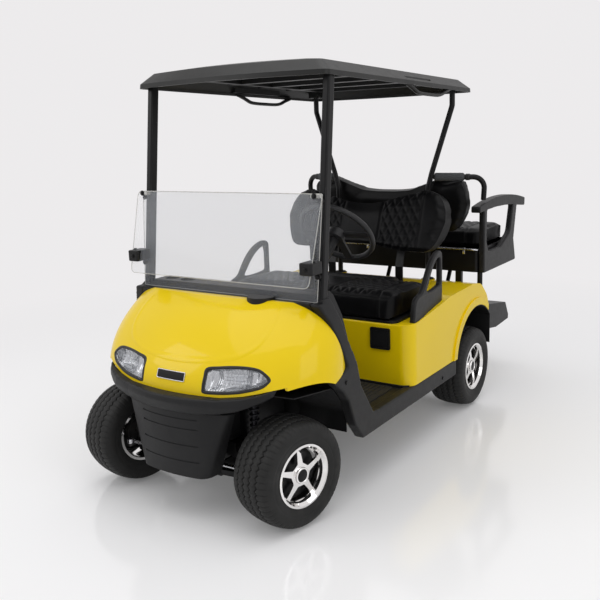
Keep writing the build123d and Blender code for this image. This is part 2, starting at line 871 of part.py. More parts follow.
# ---- front hubs and knuckles ----
kingpin_r = 17
arm_low_z = 158
arm_high_z = 292
arm_thickness = 24
steer_arm_reach = 80
steer_arm_in = 20
steer_arm_z = 190
steer_arm_thickness = 12
tie_rod_r = 8
tie_eye_r = 14
tie_eye_height = 20
rack_y = -78
rack_z = steer_arm_z + steer_arm_thickness + gap + tie_eye_height / 2
drum_front_r = 56


def rod_end(x_sign):
    """Where a front wheel's steering arm ends, as x and station."""
    turn = math.radians(steer_rest)
    x, y = -x_sign * steer_arm_in, -steer_arm_reach
    return (
        x_sign * kingpin_x + x * math.cos(turn) - y * math.sin(turn),
        x * math.sin(turn) + y * math.cos(turn),
    )


for side_name, x_sign in (("left", 1), ("right", -1)):
    pivot = at(x_sign * kingpin_x, 0, tyre_r)
    outboard = hub_planes()["front_" + side_name].z_dir
    stub = Plane(origin=pivot, x_dir=(0, 0, 1), z_dir=outboard)
    with BuildPart() as knuckle:
        with BuildSketch(level(arm_low_z + arm_thickness / 2 + 0.5)):
            with Locations((x_sign * kingpin_x, 0)):
                Circle(kingpin_r + 6)
        extrude(amount=arm_high_z - arm_low_z - arm_thickness - 1)
        with BuildSketch(stub):
            Circle(20)
        extrude(amount=kingpin_offset + face_profile[0][0] - gap)
        with BuildSketch(stub.offset(34)):
            Circle(drum_front_r)
        extrude(amount=kingpin_offset + face_profile[0][0] - gap - 34)
        with BuildSketch(level(steer_arm_z)):
            with BuildLine():
                Line((x_sign * kingpin_x, 0), rod_end(x_sign))
            trace(line_width=26)
            with Locations(rod_end(x_sign)):
                Circle(13)
        extrude(amount=steer_arm_thickness)
    write("knuckle_" + side_name, knuckle)

# ---- front arms: upper and lower wishbones from the frame to the kingpins ----
wishbone_front_y = -36
wishbone_rear_y = 96
wishbone_leg = 26
arm_inner_xs = ((arm_low_z, subframe_half + gap), (arm_high_z, rail_x + rail_width / 2 + gap))
with BuildPart() as front_arms:
    for z, inner_x in arm_inner_xs:
        with BuildSketch(level(z - arm_thickness / 2)):
            half_leg = wishbone_leg / 2
            with BuildLine():
                Polyline(
                    (kingpin_x, -kingpin_r),
                    (kingpin_x, kingpin_r),
                    (inner_x, wishbone_rear_y + half_leg),
                    (inner_x, wishbone_rear_y - half_leg),
                    (kingpin_x - 50, 4),
                    (inner_x, wishbone_front_y + half_leg),
                    (inner_x, wishbone_front_y - half_leg),
                    close=True,
                )
            make_face()
            with Locations((kingpin_x, 0)):
                Circle(kingpin_r + 4)
            if z == arm_low_z:  # the bridge under the shock absorber
                with Locations((shock_x, shock_y)):
                    Rectangle(36, 84)
        extrude(amount=arm_thickness)
    mirror(about=Plane.YZ)
write("front_arms", front_arms)

# ---- steering: rack housing, tie rods on the sliding rack, column and lower shaft, wheel ----
rack_half = 145
rack_r = 21
pinion_x = 120
pinion_top_z = 350
shaft_r = 9
with BuildPart() as steering_rack:
    with BuildSketch(side(-rack_half)):
        with Locations((rack_y, rack_z)):
            Circle(rack_r)
    extrude(amount=2 * rack_half)
    with BuildSketch(level(rack_z)):
        with Locations((pinion_x, rack_y)):
            Circle(16)
    extrude(amount=pinion_top_z - rack_z)
    # feet against the subframe's front wall
    for x in (-90, 90):
        with BuildSketch(side(x - 15)):
            with Locations(((rack_y + subframe_front_y) / 2, rack_z)):
                Rectangle(subframe_front_y - rack_y, 30)
        extrude(amount=30)
    with BuildSketch(side(-rack_half)):
        with Locations((rack_y, rack_z)):
            Circle(tie_rod_r + 0.08)
    extrude(amount=2 * rack_half, mode=Mode.SUBTRACT)
write("steering_rack", steering_rack)

with BuildPart() as tie_rods:
    with BuildSketch(side(rod_end(-1)[0])):
        with Locations((rack_y, rack_z)):
            Circle(tie_rod_r)
    extrude(amount=rod_end(1)[0] - rod_end(-1)[0])
    with BuildSketch(level(rack_z - tie_eye_height / 2)):
        with Locations(rod_end(1), rod_end(-1)):
            Circle(tie_eye_r)
    extrude(amount=tie_eye_height)
write("tie_rods", tie_rods)

column_angle = 41
wheel_centre = (690, 1110)  # station and height of the steering wheel's hub
steering_wheel_r = 178
grip_r = 13
column_r = 24
boss_depth = 42
column_dir = Vector(0, math.cos(math.radians(column_angle)), math.sin(math.radians(column_angle)))
hub_centre = at(column_x, *wheel_centre)
column_top = Plane(origin=hub_centre - column_dir * boss_depth, x_dir=(1, 0, 0), z_dir=column_dir)
column_length = (wheel_centre[0] - dash_back_y) / math.cos(math.radians(column_angle))
shaft_top = at(262, cowl_tip_y + 12, 592)
shaft_foot = at(pinion_x, rack_y, pinion_top_z + shaft_r)
with BuildPart() as steering_column:
    # the column and its shroud, which end on the dash
    with BuildSketch(column_top):
        Circle(column_r)
    extrude(amount=-column_length)
    with BuildSketch(column_top.offset(-150)):
        Circle(column_r + 2)
    extrude(amount=150 - column_length, taper=-5)
    add(dash_form(0), mode=Mode.SUBTRACT)
    # the lower shaft inside the front end, from under the dash to the rack's pinion
    with BuildSketch(Plane(origin=shaft_foot, z_dir=shaft_top - shaft_foot)):
        Circle(shaft_r)
    extrude(amount=(shaft_top - shaft_foot).length)
write("steering_column", steering_column)

with BuildPart() as steering_wheel:
    rim_plane = Plane(origin=hub_centre, x_dir=(1, 0, 0), z_dir=column_dir)
    with BuildSketch(Plane(origin=hub_centre, x_dir=(1, 0, 0), z_dir=-rim_plane.y_dir)):
        with Locations((steering_wheel_r, 0)):
            Circle(grip_r)
    revolve(axis=Axis(hub_centre, column_dir))
    # a padded boss and three spokes that drop to it
    with BuildSketch(rim_plane.offset(gap - boss_depth)):
        Circle(48)
    extrude(amount=boss_depth + 2, taper=6)
    with BuildSketch(rim_plane.offset(-12)):
        for turn, width in ((0, 30), (180, 30), (90, 40)):
            with Locations(Location((0, 0), turn)):
                with Locations((steering_wheel_r / 2, 0)):
                    Rectangle(steering_wheel_r - grip_r, width)
    extrude(amount=12)
write("steering_wheel", steering_wheel)

# ---- pedals on the toe board ----
# middle of each pedal, its width
pedal_places = ((235, 78), (365, 46))
with BuildPart() as pedals:
    for x, width in pedal_places:
        with BuildSketch(side(x - width / 2)):
            with BuildLine():
                Polyline(
                    (toe_foot_y + 36, floor_top_z + gap),
                    (toe_foot_y + 6, floor_top_z + 50),
                    (toe_foot_y - 10, 470),
                    (toe_foot_y - 26, 466),
                    (toe_foot_y - 9, floor_top_z + 46),
                    (toe_foot_y + 20, floor_top_z + gap),
                    close=True,
                )
            make_face()
        extrude(amount=width)
write("pedals", pedals)

# ---- roof: a crowned tray, open underneath, that falls a little towards the rear ----
roof_front_y = 264
roof_rear_y = 1768
roof_front_z = 1801
roof_fall = 44 / 1500
roof_half = 517
roof_wall = 8
roof_bow_front = 62
roof_bow_rear = 34
roof_corner_r = 34
roof_seat_z = 14  # from the lip up to the pads that the struts bolt to
# height above the lip, pull-in of the outline
roof_sections = ((0, 0), (20, 2), (66, 56), (76, 130), (82, 240))
fall_angle = math.atan(roof_fall)
roof_length = (roof_rear_y - roof_front_y) / math.cos(fall_angle)
roof_plane = Plane(
    origin=at(0, roof_front_y, roof_front_z),
    x_dir=(1, 0, 0),
    z_dir=(0, math.sin(fall_angle), math.cos(fall_angle)),
)


def roof_form(inset, drop):
    """The roof's closed form, inset and lowered: bowed ends, rounded corners, pulled in towards the top."""
    with BuildPart() as form:
        for z, pull in roof_sections:
            half = roof_half - inset - pull
            near = inset + pull * 0.7
            far = roof_length - inset - pull * 0.8
            with BuildSketch(roof_plane.offset(z - drop)) as outline:
                with BuildLine():
                    ThreePointArc((-half, near), (0, near - roof_bow_front), (half, near))
                    Line((half, near), (half, far))
                    ThreePointArc((half, far), (0, far + roof_bow_rear), (-half, far))
                    Line((-half, far), (-half, near))
                make_face()
                fillet(outline.vertices(), radius=roof_corner_r - inset)
        loft(ruled=True)
    return form.part


post_width = 34
post_depth = 45
post_foot = at(489, 221, trim_widths[-1][0])
post_head = at(484, 331, 1801)
rear_tube_r = 15
rear_strut_top_x = 440
roof_rib_count = 6
roof_rib_width = 46
roof_rib_z = 46
roof_rail_x = 395
handle_y = (950, 1330)  # hand recesses low in the roof's sides
handle_depth = 34
with BuildPart() as roof_ribs:
    # ribs across, rails along and pads over the struts, all under the skin
    with BuildSketch(roof_plane.offset(roof_rib_z)):
        with Locations((0, roof_length / 2)):
            with GridLocations(1, (roof_length - 170) / (roof_rib_count - 1), 1, roof_rib_count):
                Rectangle(2 * roof_half, roof_rib_width)
            with Locations((roof_rail_x, 0), (-roof_rail_x, 0)):
                Rectangle(roof_rib_width, roof_length)
    extrude(amount=70)
    with BuildSketch(roof_plane.offset(roof_seat_z)):
        for x_sign in (1, -1):
            with Locations((x_sign * 484, post_head.Y - axle_y - roof_front_y)):
                Rectangle(60, 76)
            with Locations((x_sign * rear_strut_top_x, rear_strut_y - roof_front_y)):
                Rectangle(64, 64)
            with Locations((x_sign * roof_half, sum(handle_y) / 2 - roof_front_y)):
                Rectangle(2 * handle_depth + 20, handle_y[1] - handle_y[0] + 30)
    extrude(amount=90)
    add(roof_form(roof_wall - 1, roof_wall - 1), mode=Mode.INTERSECT)

with BuildPart() as roof:
    add(roof_form(0, 0))
    add(roof_form(roof_wall, roof_wall), mode=Mode.SUBTRACT)
    add(roof_ribs.part)
    for x_sign in (1, -1):
        with BuildSketch(Plane(origin=(x_sign * roof_half, 0, 0), x_dir=(0, 1, 0), z_dir=(1, 0, 0))):
            with BuildLine():
                FilletPolyline(
                    (axle_y + handle_y[0], 1812),
                    (axle_y + handle_y[0] + 50, 1836),
                    (axle_y + handle_y[1] - 70, 1828),
                    (axle_y + handle_y[1], 1800),
                    radius=12,
                    close=True,
                )
            make_face()
        extrude(amount=handle_depth - 8, both=True, mode=Mode.SUBTRACT)
write("roof", roof)

# ---- roof struts: front posts that lean back, rear tubes that spread outwards ----
with BuildPart() as roof_struts:
    post_run = post_head - post_foot
    with BuildSketch(level(post_foot.Z)):
        with Locations((post_foot.X, post_foot.Y - axle_y)):
            RectangleRounded(post_width, post_depth, 9)
    extrude(amount=post_run.length + 60, dir=post_run)
    with BuildLine(front(rear_strut_y)) as rear_run:
        FilletPolyline(
            (rear_strut_foot_x, deck_z + 1),
            (rear_strut_foot_x, 1240),
            (318, 1322),
            (rear_strut_top_x, 1690),
            (rear_strut_top_x, 1850),
            radius=(90, 90, 60),
        )
    with BuildSketch(tube_start(rear_run.line)):
        Circle(rear_tube_r)
    sweep(path=rear_run.line)
    with BuildSketch(level(deck_z + 1)):
        with Locations((rear_strut_foot_x, rear_strut_y)):
            Circle(32)
    extrude(amount=6)
    mirror(about=Plane.YZ)
    split(bisect_by=roof_plane.offset(roof_seat_z), keep=Keep.BOTTOM)
write("roof_struts", roof_struts)

# ---- windshield: a lower pane on the brow and an upper pane folded down in front of it ----
pane_half_foot = 489
pane_half_top = 500
pane_foot = (pane_foot_y, cowl_top_z + gap)
pane_top = (229, 1334)
flap_half_top = 513
flap_half_free = 498
flap_free = (107, 966)  # free edge of the folded upper pane
flap_top = (209, 1336)
pane_corner_r = 28


def leaning(foot, top):
    """A leaning plane across the cart through two points of its side view; drawn y runs from foot to top."""
    return Plane(origin=at(0, *foot), x_dir=(1, 0, 0), z_dir=(0, foot[1] - top[1], top[0] - foot[0]))


def pane_y(z):
    """The lower pane's station at a height."""
    return pane_foot[0] + (pane_top[0] - pane_foot[0]) * (z - pane_foot[1]) / (pane_top[1] - pane_foot[1])


with BuildPart() as windshield:
    for foot, top, half_foot, half_top in (
        (pane_foot, pane_top, pane_half_foot, pane_half_top),
        (flap_free, flap_top, flap_half_free, flap_half_top),
    ):
        height = math.dist(foot, top)
        with BuildSketch(leaning(foot, top)):
            with BuildLine():
                FilletPolyline(
                    (-half_foot, 0),
                    (half_foot, 0),
                    (half_top, height),
                    (-half_top, height),
                    radius=pane_corner_r if foot == flap_free else 6,
                    close=True,
                )
            make_face()
        extrude(amount=-pane_thickness)
write("windshield", windshield)

clip_x = 482
clip_width = 64
clip_height = 50
clip_z = 1042
standoff_r = 10
standoff_zs = (1000, 1306)
with BuildPart() as windshield_clips:
    with BuildSketch(level(clip_z - clip_height / 2)):
        with Locations((clip_x, (flap_free[0] + 5 + pane_y(clip_z)) / 2)):
            RectangleRounded(clip_width, pane_y(clip_z) - flap_free[0] - 5, 8)
    extrude(amount=clip_height)
    # hinge blocks over both panes' top edges
    with BuildSketch(level(pane_top[1] - 16)):
        with Locations((clip_x - 12, (flap_top[0] + pane_top[0] + 6) / 2)):
            RectangleRounded(50, 46, 6)
    extrude(amount=26)
    # bolts and standoffs through the lower pane to the posts
    for z in standoff_zs:
        with BuildSketch(front(pane_y(z) - 5)):
            with Locations((post_foot.X, z)):
                Circle(standoff_r)
        extrude(amount=-60)
    mirror(about=Plane.YZ)
    add(windshield.part, mode=Mode.SUBTRACT)
    add(roof_struts.part, mode=Mode.SUBTRACT)
    with BuildSketch(front(post_foot.Y - axle_y + 56)):
        with Locations((0, 1150)):
            Rectangle(2 * half_width, 900)
    extrude(amount=-200, mode=Mode.SUBTRACT)
write("windshield_clips", windshield_clips)

# ---- front seat: board and cushion hinged at the front edge, backrest on brackets ----
seat_board_half = 500
seat_board_ys = (856, 1288)
seat_board_thickness = 12
cushion_half = 508
cushion_ys = (830, 1290)
cushion_top_z = 800
cushion_front_z = 655
with BuildPart() as seat_board:
    with BuildSketch(level(recess_z + gap)):
        with Locations((0, sum(seat_board_ys) / 2)):
            RectangleRounded(2 * seat_board_half, seat_board_ys[1] - seat_board_ys[0], 40)
    extrude(amount=seat_board_thickness)
write("seat_board", seat_board)

board_top_z = recess_z + gap + seat_board_thickness
with BuildPart() as front_cushion:
    with BuildSketch(side(-cushion_half)):
        with BuildLine():
            FilletPolyline(
                (cushion_ys[0], cushion_front_z),
                (cushion_ys[0] + 8, cushion_top_z - 6),
                (cushion_ys[0] + 120, cushion_top_z),
                (cushion_ys[1] - 20, cushion_top_z - 12),
                (cushion_ys[1], board_top_z),
                (seat_board_ys[0] - gap, board_top_z),
                (seat_board_ys[0] - gap, cushion_front_z),
                radius=(40, 60, 40, 10, gap / 2),
            )
            Line((seat_board_ys[0] - gap, cushion_front_z), (cushion_ys[0], cushion_front_z))
        make_face()
    extrude(amount=2 * cushion_half)
    with BuildSketch(level(0)):
        with Locations((0, sum(cushion_ys) / 2)):
            RectangleRounded(2 * cushion_half, cushion_ys[1] - cushion_ys[0], 70)
    extrude(amount=1000, mode=Mode.INTERSECT)
write("front_cushion", front_cushion)

back_foot = (1400, 836)
back_top = (1540, 1260)
back_thickness = 110
# half outline of the front backrest: x, distance up along it, corner radius
back_outline = ((452, 0, 70), (532, 250, 190), (500, 440, 96), (372, 446, 110), (150, 384, 130))


def backrest(foot, top, outline, thickness):
    """A backrest with two raised shoulders and a dip between them, in the middle of its leaning plane."""
    with BuildPart() as pad:
        with BuildSketch(leaning(foot, top).offset(-thickness / 2)):
            with BuildLine():
                points = [(0, 0)] + [(x, up) for x, up, _ in outline] + [(0, outline[-1][1])]
                FilletPolyline(*points, radius=[r for _, _, r in outline])
                mirror(about=Plane.YZ)
            make_face()
        extrude(amount=thickness)
    return pad.part


with BuildPart() as front_seatback:
    add(backrest(back_foot, back_top, back_outline, back_thickness))
write("front_seatback", front_seatback)

# ---- rear seat: tray, cushion and backrest that face the rear, armrests, tube frame ----
tray_half = half_width - 37
tray_ys = (1790, 2320)
tray_zs = (752, 887)
tray_wall = 5
with BuildPart() as rear_seat_base:
    with BuildSketch(level(tray_zs[0])):
        with Locations((0, sum(tray_ys) / 2)):
            RectangleRounded(2 * tray_half, tray_ys[1] - tray_ys[0], 30)
    extrude(amount=tray_zs[1] - tray_zs[0])
    with BuildSketch(level(tray_zs[1])):
        with Locations((0, sum(tray_ys) / 2)):
            RectangleRounded(2 * (tray_half - tray_wall), tray_ys[1] - tray_ys[0] - 2 * tray_wall, 30 - tray_wall)
    extrude(amount=tray_zs[0] + tray_wall - tray_zs[1], mode=Mode.SUBTRACT)
    # the rolled rim
    with BuildSketch(level(tray_zs[1] - 8)):
        with Locations((0, sum(tray_ys) / 2)):
            RectangleRounded(2 * tray_half, tray_ys[1] - tray_ys[0], 30)
            RectangleRounded(2 * tray_half - 30, tray_ys[1] - tray_ys[0] - 30, 16, mode=Mode.SUBTRACT)
    extrude(amount=8)
write("rear_seat_base", rear_seat_base)

rear_cushion_half = tray_half - 12
rear_cushion_ys = (1862, 2312)
rear_cushion_top_z = 990
with BuildPart() as rear_cushion:
    with BuildSketch(side(-rear_cushion_half)):
        with BuildLine():
            FilletPolyline(
                (rear_cushion_ys[0], tray_zs[1] + gap),
                (rear_cushion_ys[0] + 8, rear_cushion_top_z - 8),
                (rear_cushion_ys[1] - 120, rear_cushion_top_z),
                (rear_cushion_ys[1] - 12, rear_cushion_top_z - 16),
                (rear_cushion_ys[1], tray_zs[1] + gap),
                radius=(30, 60, 50),
            )
            Line((rear_cushion_ys[1], tray_zs[1] + gap), (rear_cushion_ys[0], tray_zs[1] + gap))
        make_face()
    extrude(amount=2 * rear_cushion_half)
    with BuildSketch(level(0)):
        with Locations((0, sum(rear_cushion_ys) / 2)):
            RectangleRounded(2 * rear_cushion_half, rear_cushion_ys[1] - rear_cushion_ys[0], 70)
    extrude(amount=1200, mode=Mode.INTERSECT)
write("rear_cushion", rear_cushion)

hoop_side = (500, 1765, 1298)  # x, station, height where the hoops turn outwards
hoop_corner = (half_width - 12, 1800, 1297)
hoop_foot = (half_width - 19, 1800)  # on the armrest's pad
hoop_start = (rear_strut_foot_x + 26, rear_strut_y + 14, 1303)
sleeve_r = 22
rear_back_foot = (1806, 962)
rear_back_top = (1766, 1311)
rear_back_thickness = 88
rear_back_outline = ((455, 0, 90), (548, 170, 190), (500, 330, 110), (368, 354, 120), (160, 290, 130))
with BuildPart() as rear_seatback:
    add(backrest(rear_back_foot, rear_back_top, rear_back_outline, rear_back_thickness))
    # the shoulders step back behind the hoops
    for x_sign in (1, -1):
        with BuildSketch(level(hoop_side[2] - sleeve_r - 4)):
            with BuildLine():
                Polyline(
                    (x_sign * 320, 1650),
                    (x_sign * 320, rear_strut_y + 12 + sleeve_r + 10),
                    (x_sign * 560, 1830),
                    (x_sign * 640, 1830),
                    (x_sign * 640, 1650),
                    close=True,
                )
            make_face()
        extrude(amount=100, mode=Mode.SUBTRACT)
write("rear_seatback", rear_seatback)

armrest_x = (tray_half + 2, half_width - 3)
pad_x = (half_width - 54, half_width)
with BuildPart() as armrests:
    with BuildSketch(side(armrest_x[0])):
        with BuildLine():
            FilletPolyline(
                (1783, tray_zs[0]),
                (2318, tray_zs[0]),
                (2276, 890),
                (2330, 1120),
                (2262, 1120),
                (2206, 936),
                (2050, 868),
                (1850, 868),
                (1818, 930),
                (1822, 1120),
                (1778, 1120),
                radius=(12, 10, 16, 6, 6, 60, 110, 24, 30, 6, 6),
                close=True,
            )
        make_face()
    extrude(amount=armrest_x[1] - armrest_x[0])
    # the pads, as arched bars
    with BuildSketch(side(pad_x[0])):
        with BuildLine():
            pad_top = ThreePointArc((1702, 1137), (2062, 1170), (2466, 1124))
            Line(pad_top @ 1, (2462, 1076))
            pad_low = ThreePointArc((2462, 1076), (2062, 1112), (1706, 1104))
            Line(pad_low @ 1, pad_top @ 0)
        make_face()
    extrude(amount=pad_x[1] - pad_x[0])
    mirror(about=Plane.YZ)
write("armrests", armrests)

post_x = 436
frame_tube_r = 15
footplate_half = 490
footplate_wall = 4
footplate_round = 8
# the footplate's outer side profile: station, height
footplate_top = ((2125, 490), (2450, 440))
footplate_rear_y = wheelbase + rear_overhang
footplate_side = (*footplate_top, (footplate_rear_y, 348), (footplate_rear_y, 320), (2282, 310), (2175, 326))
footplate_fall = (footplate_top[0][1] - footplate_top[1][1]) / (footplate_top[1][0] - footplate_top[0][0])
body_block = body_form(-gap)


def under_footplate(y):
    """Height of the footplate's underside at a station."""
    return footplate_top[0][1] - footplate_fall * (y - footplate_top[0][0]) - footplate_wall * 1.02


with BuildPart() as rear_seat_frame:
    # hoops from the roof's rear struts, round the backrest's shoulders and down to the armrests
    with BuildLine() as hoop:
        FilletPolyline(
            at(*hoop_start),
            at(*hoop_side),
            at(*hoop_corner),
            at(*hoop_foot, 1168),
            radius=(120, 62),
        )
    with BuildSketch(tube_start(hoop.line)):
        Circle(frame_tube_r)
    sweep(path=hoop.line)
    # the foam sleeve along the hoop's first run
    sleeve_dir = at(*hoop_side) - at(*hoop_start)
    with BuildSketch(Plane(origin=at(*hoop_start) + sleeve_dir * 0.06, z_dir=sleeve_dir)):
        Circle(sleeve_r)
    extrude(amount=sleeve_dir.length * 0.8)
    # posts from the tray down to the deck
    with BuildSketch(level(tray_zs[0])):
        with Locations((post_x, hoop_foot[1])):
            RectangleRounded(38, 30, 5)
        with Locations((tray_half + 3, hoop_foot[1])):
            Circle(frame_tube_r)
    extrude(amount=-160)
    mirror(about=Plane.YZ)
    add(body_block, mode=Mode.SUBTRACT)
    # arms from the chassis under the footplate and braces up to the tray
    with BuildSketch(side(arm_x - arm_width / 2)):
        with BuildLine():
            Polyline(
                (rail_rear_y, kick_z + 20),
                (2150, under_footplate(2150)),
                (2400, under_footplate(2400)),
                (2400, under_footplate(2400) - 36),
                (2150, kick_z - 24),
                (rail_rear_y, kick_z - 24),
                close=True,
            )
        make_face()
    extrude(amount=arm_width)
    brace_foot = at(arm_x, 2060, kick_z)
    brace_head = at(arm_x, 2240, tray_zs[0] + 20)
    with BuildSketch(Plane(origin=brace_foot, z_dir=brace_head - brace_foot)):
        Circle(13)
    extrude(amount=(brace_head - brace_foot).length)
    mirror(about=Plane.YZ)
    add(rear_seat_base.part, mode=Mode.SUBTRACT)
    add(armrests.part, mode=Mode.SUBTRACT)
    add(roof_struts.part, mode=Mode.SUBTRACT)
    with BuildSketch(level(tray_zs[0] + tray_wall)):
        with Locations((0, sum(tray_ys) / 2)):
            Rectangle(2 * tray_half - 40, tray_ys[1] - tray_ys[0])
    extrude(amount=60, mode=Mode.SUBTRACT)
write("rear_seat_frame", rear_seat_frame)

with BuildPart() as footplate:
    with BuildSketch(side(-footplate_half)):
        with BuildLine():
            FilletPolyline(*footplate_side, radius=footplate_round, close=True)
        make_face()
    extrude(amount=2 * footplate_half)
    with BuildSketch(side(footplate_wall - footplate_half)):
        with BuildLine():
            FilletPolyline(*footplate_side, radius=footplate_round, close=True)
        make_face()
        offset(amount=-footplate_wall, mode=Mode.REPLACE)
    extrude(amount=2 * footplate_half - 2 * footplate_wall, mode=Mode.SUBTRACT)
    # open at the front between the end plates, where the arms enter
    with BuildSketch(side(20 - footplate_half)):
        with BuildLine():
            Polyline((2100, 484), (2139, 484), (2190, 332), (2190, 300), (2100, 300), close=True)
        make_face()
    extrude(amount=2 * footplate_half - 40, mode=Mode.SUBTRACT)
write("footplate", footplate)

# ---- hip restraints beside the front seat, with an open triangle ----
restraint_x = (half_width - 43, half_width - 13)
with BuildPart() as hip_restraints:
    with BuildSketch(side(restraint_x[0])):
        with BuildLine():
            FilletPolyline(
                (900, 640),
                (1262, 660),
                (1266, 962),
                (1234, 962),
                (1032, 800),
                (975, 790),
                (912, 764),
                radius=(8, 6, 10, 8, 30, 30, 16),
                close=True,
            )
        make_face()
        with BuildLine():
            FilletPolyline((1040, 772), (1240, 780), (1244, 936), radius=5, close=True)
        make_face(mode=Mode.SUBTRACT)
    extrude(amount=restraint_x[1] - restraint_x[0])
    mirror(about=Plane.YZ)
    add(body_block, mode=Mode.SUBTRACT)
write("hip_restraints", hip_restraints)

# ---- seat brackets: from the deck and the rear struts to both backrests ----
bracket_x = 220
bracket_width = 46
bracket_wall = 6
strut_arm_z = 1010
with BuildPart() as seat_brackets:
    back_plane = leaning(back_foot, back_top).offset(-back_thickness / 2 - gap)
    lean = (back_plane.y_dir.Y, back_plane.y_dir.Z)
    low_y, low_z = back_plane.origin.Y - axle_y, back_plane.origin.Z
    # an upright behind the front backrest, on a foot on the deck
    with BuildSketch(side(bracket_x - bracket_width / 2)):
        with BuildLine():
            Polyline(
                (low_y, low_z),
                (low_y + lean[0] * 230, low_z + lean[1] * 230),
                (low_y + lean[0] * 230 + bracket_wall, low_z + lean[1] * 230),
                (low_y + bracket_wall, low_z - 4),
                (low_y + bracket_wall, deck_z - 10 + bracket_wall),
                (low_y + 70, deck_z - 10 + bracket_wall),
                (low_y + 70, deck_z - 20),
                (low_y, deck_z - 20),
                close=True,
            )
        make_face()
    extrude(amount=bracket_width)
    # arms from the rear struts to both backrests
    with BuildSketch(front(low_y)):
        with Locations((rear_strut_foot_x, strut_arm_z)):
            RectangleRounded(26, 46, 5)
    extrude(amount=low_y - rear_back_foot[0])
    mirror(about=Plane.YZ)
    for neighbour in (front_seatback, rear_seatback, roof_struts):
        add(neighbour.part, mode=Mode.SUBTRACT)
    add(body_block, mode=Mode.SUBTRACT)
write("seat_brackets", seat_brackets)

# ---- wheelhouse liners ----
with BuildPart() as rear_liners:
    add(arch_disc(rear_arch_r + liner_wall, liner_inner_x, body_half))
    add(arch_disc(rear_arch_r, liner_inner_x + liner_wall, half_width), mode=Mode.SUBTRACT)
    add(body_form(skin + gap), mode=Mode.INTERSECT)
    with BuildSketch(level(body_bottom_z)):
        with Locations((0, rear_arch_y)):
            Rectangle(2 * half_width, 3 * rear_arch_r)
    extrude(amount=-200, mode=Mode.SUBTRACT)

front_liner_x = (300, floor_half)
front_liner_path = ((306, 250), (306, 400), (200, 530), (-50, 545))
with BuildPart() as wheelhouse_liners:
    with BuildSketch(side(front_liner_x[0])):
        with BuildLine():
            FilletPolyline(*front_liner_path, radius=40)
        trace(line_width=liner_wall)
    extrude(amount=front_liner_x[1] - front_liner_x[0])
    mirror(about=Plane.YZ)
    add(rear_liners.part)
write("wheelhouse_liners", wheelhouse_liners)

# ---- rear axle with its motor, leaf springs, shock absorbers ----
axle_tube_r = 32
drum_rear_r = 90
drum_face_x = rear_track / 2 + face_profile[0][0] - gap
drum_back_x = rear_track / 2 - 22
gearcase_x = (-100, -15)
motor_x = (-15, 178)
motor_r = 84
motor_place = (wheelbase + 165, 260)
with BuildPart() as rear_axle:
    with BuildSketch(side(-drum_back_x)):
        with Locations((wheelbase, tyre_r)):
            Circle(axle_tube_r)
    extrude(amount=2 * drum_back_x)
    with BuildSketch(side(drum_back_x)):
        with Locations((wheelbase, tyre_r)):
            Circle(drum_rear_r)
    extrude(amount=drum_face_x - drum_back_x)
    with BuildSketch(side(-drum_face_x)):
        with Locations((wheelbase, tyre_r)):
            Circle(drum_rear_r)
    extrude(amount=drum_face_x - drum_back_x)
    # the gearcase reaches back to the motor
    with BuildSketch(side(gearcase_x[0])):
        with BuildLine():
            Line((wheelbase, tyre_r), motor_place)
        trace(line_width=130)
        with Locations((wheelbase, tyre_r)):
            Circle(82)
        with Locations(motor_place):
            Circle(76)
    extrude(amount=gearcase_x[1] - gearcase_x[0])
    with BuildSketch(side(motor_x[0])):
        with Locations(motor_place):
            Circle(motor_r)
    extrude(amount=motor_x[1] - motor_x[0])
    # shock absorber brackets on the tube
    for x in (rear_shock_x, -rear_shock_x):
        with BuildSketch(side(x - 20)):
            with Locations((wheelbase, tyre_r + 20)):
                Rectangle(44, 40)
        extrude(amount=40)
write("rear_axle", rear_axle)

leaf_thickness = 16
leaf_mid_z = tyre_r + axle_tube_r + leaf_thickness / 2 + 2 * gap
with BuildPart() as leaf_springs:
    with BuildSketch(side(rail_x - spring_width / 2)):
        with BuildLine():
            ThreePointArc(spring_front, (wheelbase, leaf_mid_z), spring_rear)
        trace(line_width=leaf_thickness)
        with Locations(spring_front, spring_rear):
            Circle(spring_eye_r)
        # the shorter leaves above, clamped over the axle
        with Locations((wheelbase, leaf_mid_z + leaf_thickness)):
            Rectangle(150, leaf_thickness + 4)
    extrude(amount=spring_width)
    mirror(about=Plane.YZ)
write("leaf_springs", leaf_springs)

# ---- shock absorbers ----
damper_r = 14
coil_pitch = 24
coil_r = 5


def shock_absorber(x, y, foot_z, head_z):
    """A damper with its coil drawn as stacked rings, standing between two heights."""
    with BuildPart() as shock:
        with BuildSketch(level(foot_z)):
            with Locations((x, y)):
                Circle(damper_r)
        extrude(amount=head_z - foot_z)
        coil_count = int((head_z - foot_z - 60) / coil_pitch)
        for i in range(coil_count):
            with BuildSketch(Plane(origin=at(x, y, 0), x_dir=(1, 0, 0), z_dir=(0, -1, 0))):
                with Locations((shock_r - coil_r, foot_z + 40 + i * coil_pitch)):
                    Circle(coil_r)
            revolve(axis=Axis(at(x, y, 0), (0, 0, 1)))
        with BuildSketch(level(head_z - 12)):
            with Locations((x, y)):
                Circle(shock_r)
        extrude(amount=12)
    return shock.part


with BuildPart() as shock_absorbers:
    add(shock_absorber(shock_x, shock_y, arm_low_z + arm_thickness / 2 + gap, tower_z - tower_wall - gap))
    add(shock_absorber(rear_shock_x, wheelbase, tyre_r + 40 + gap, kick_z - 7 - gap))
    mirror(about=Plane.YZ)
write("shock_absorbers", shock_absorbers)
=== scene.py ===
import json
import math

import bpy
import numpy as np
from mathutils import Matrix, Vector
from mathutils.bvhtree import BVHTree


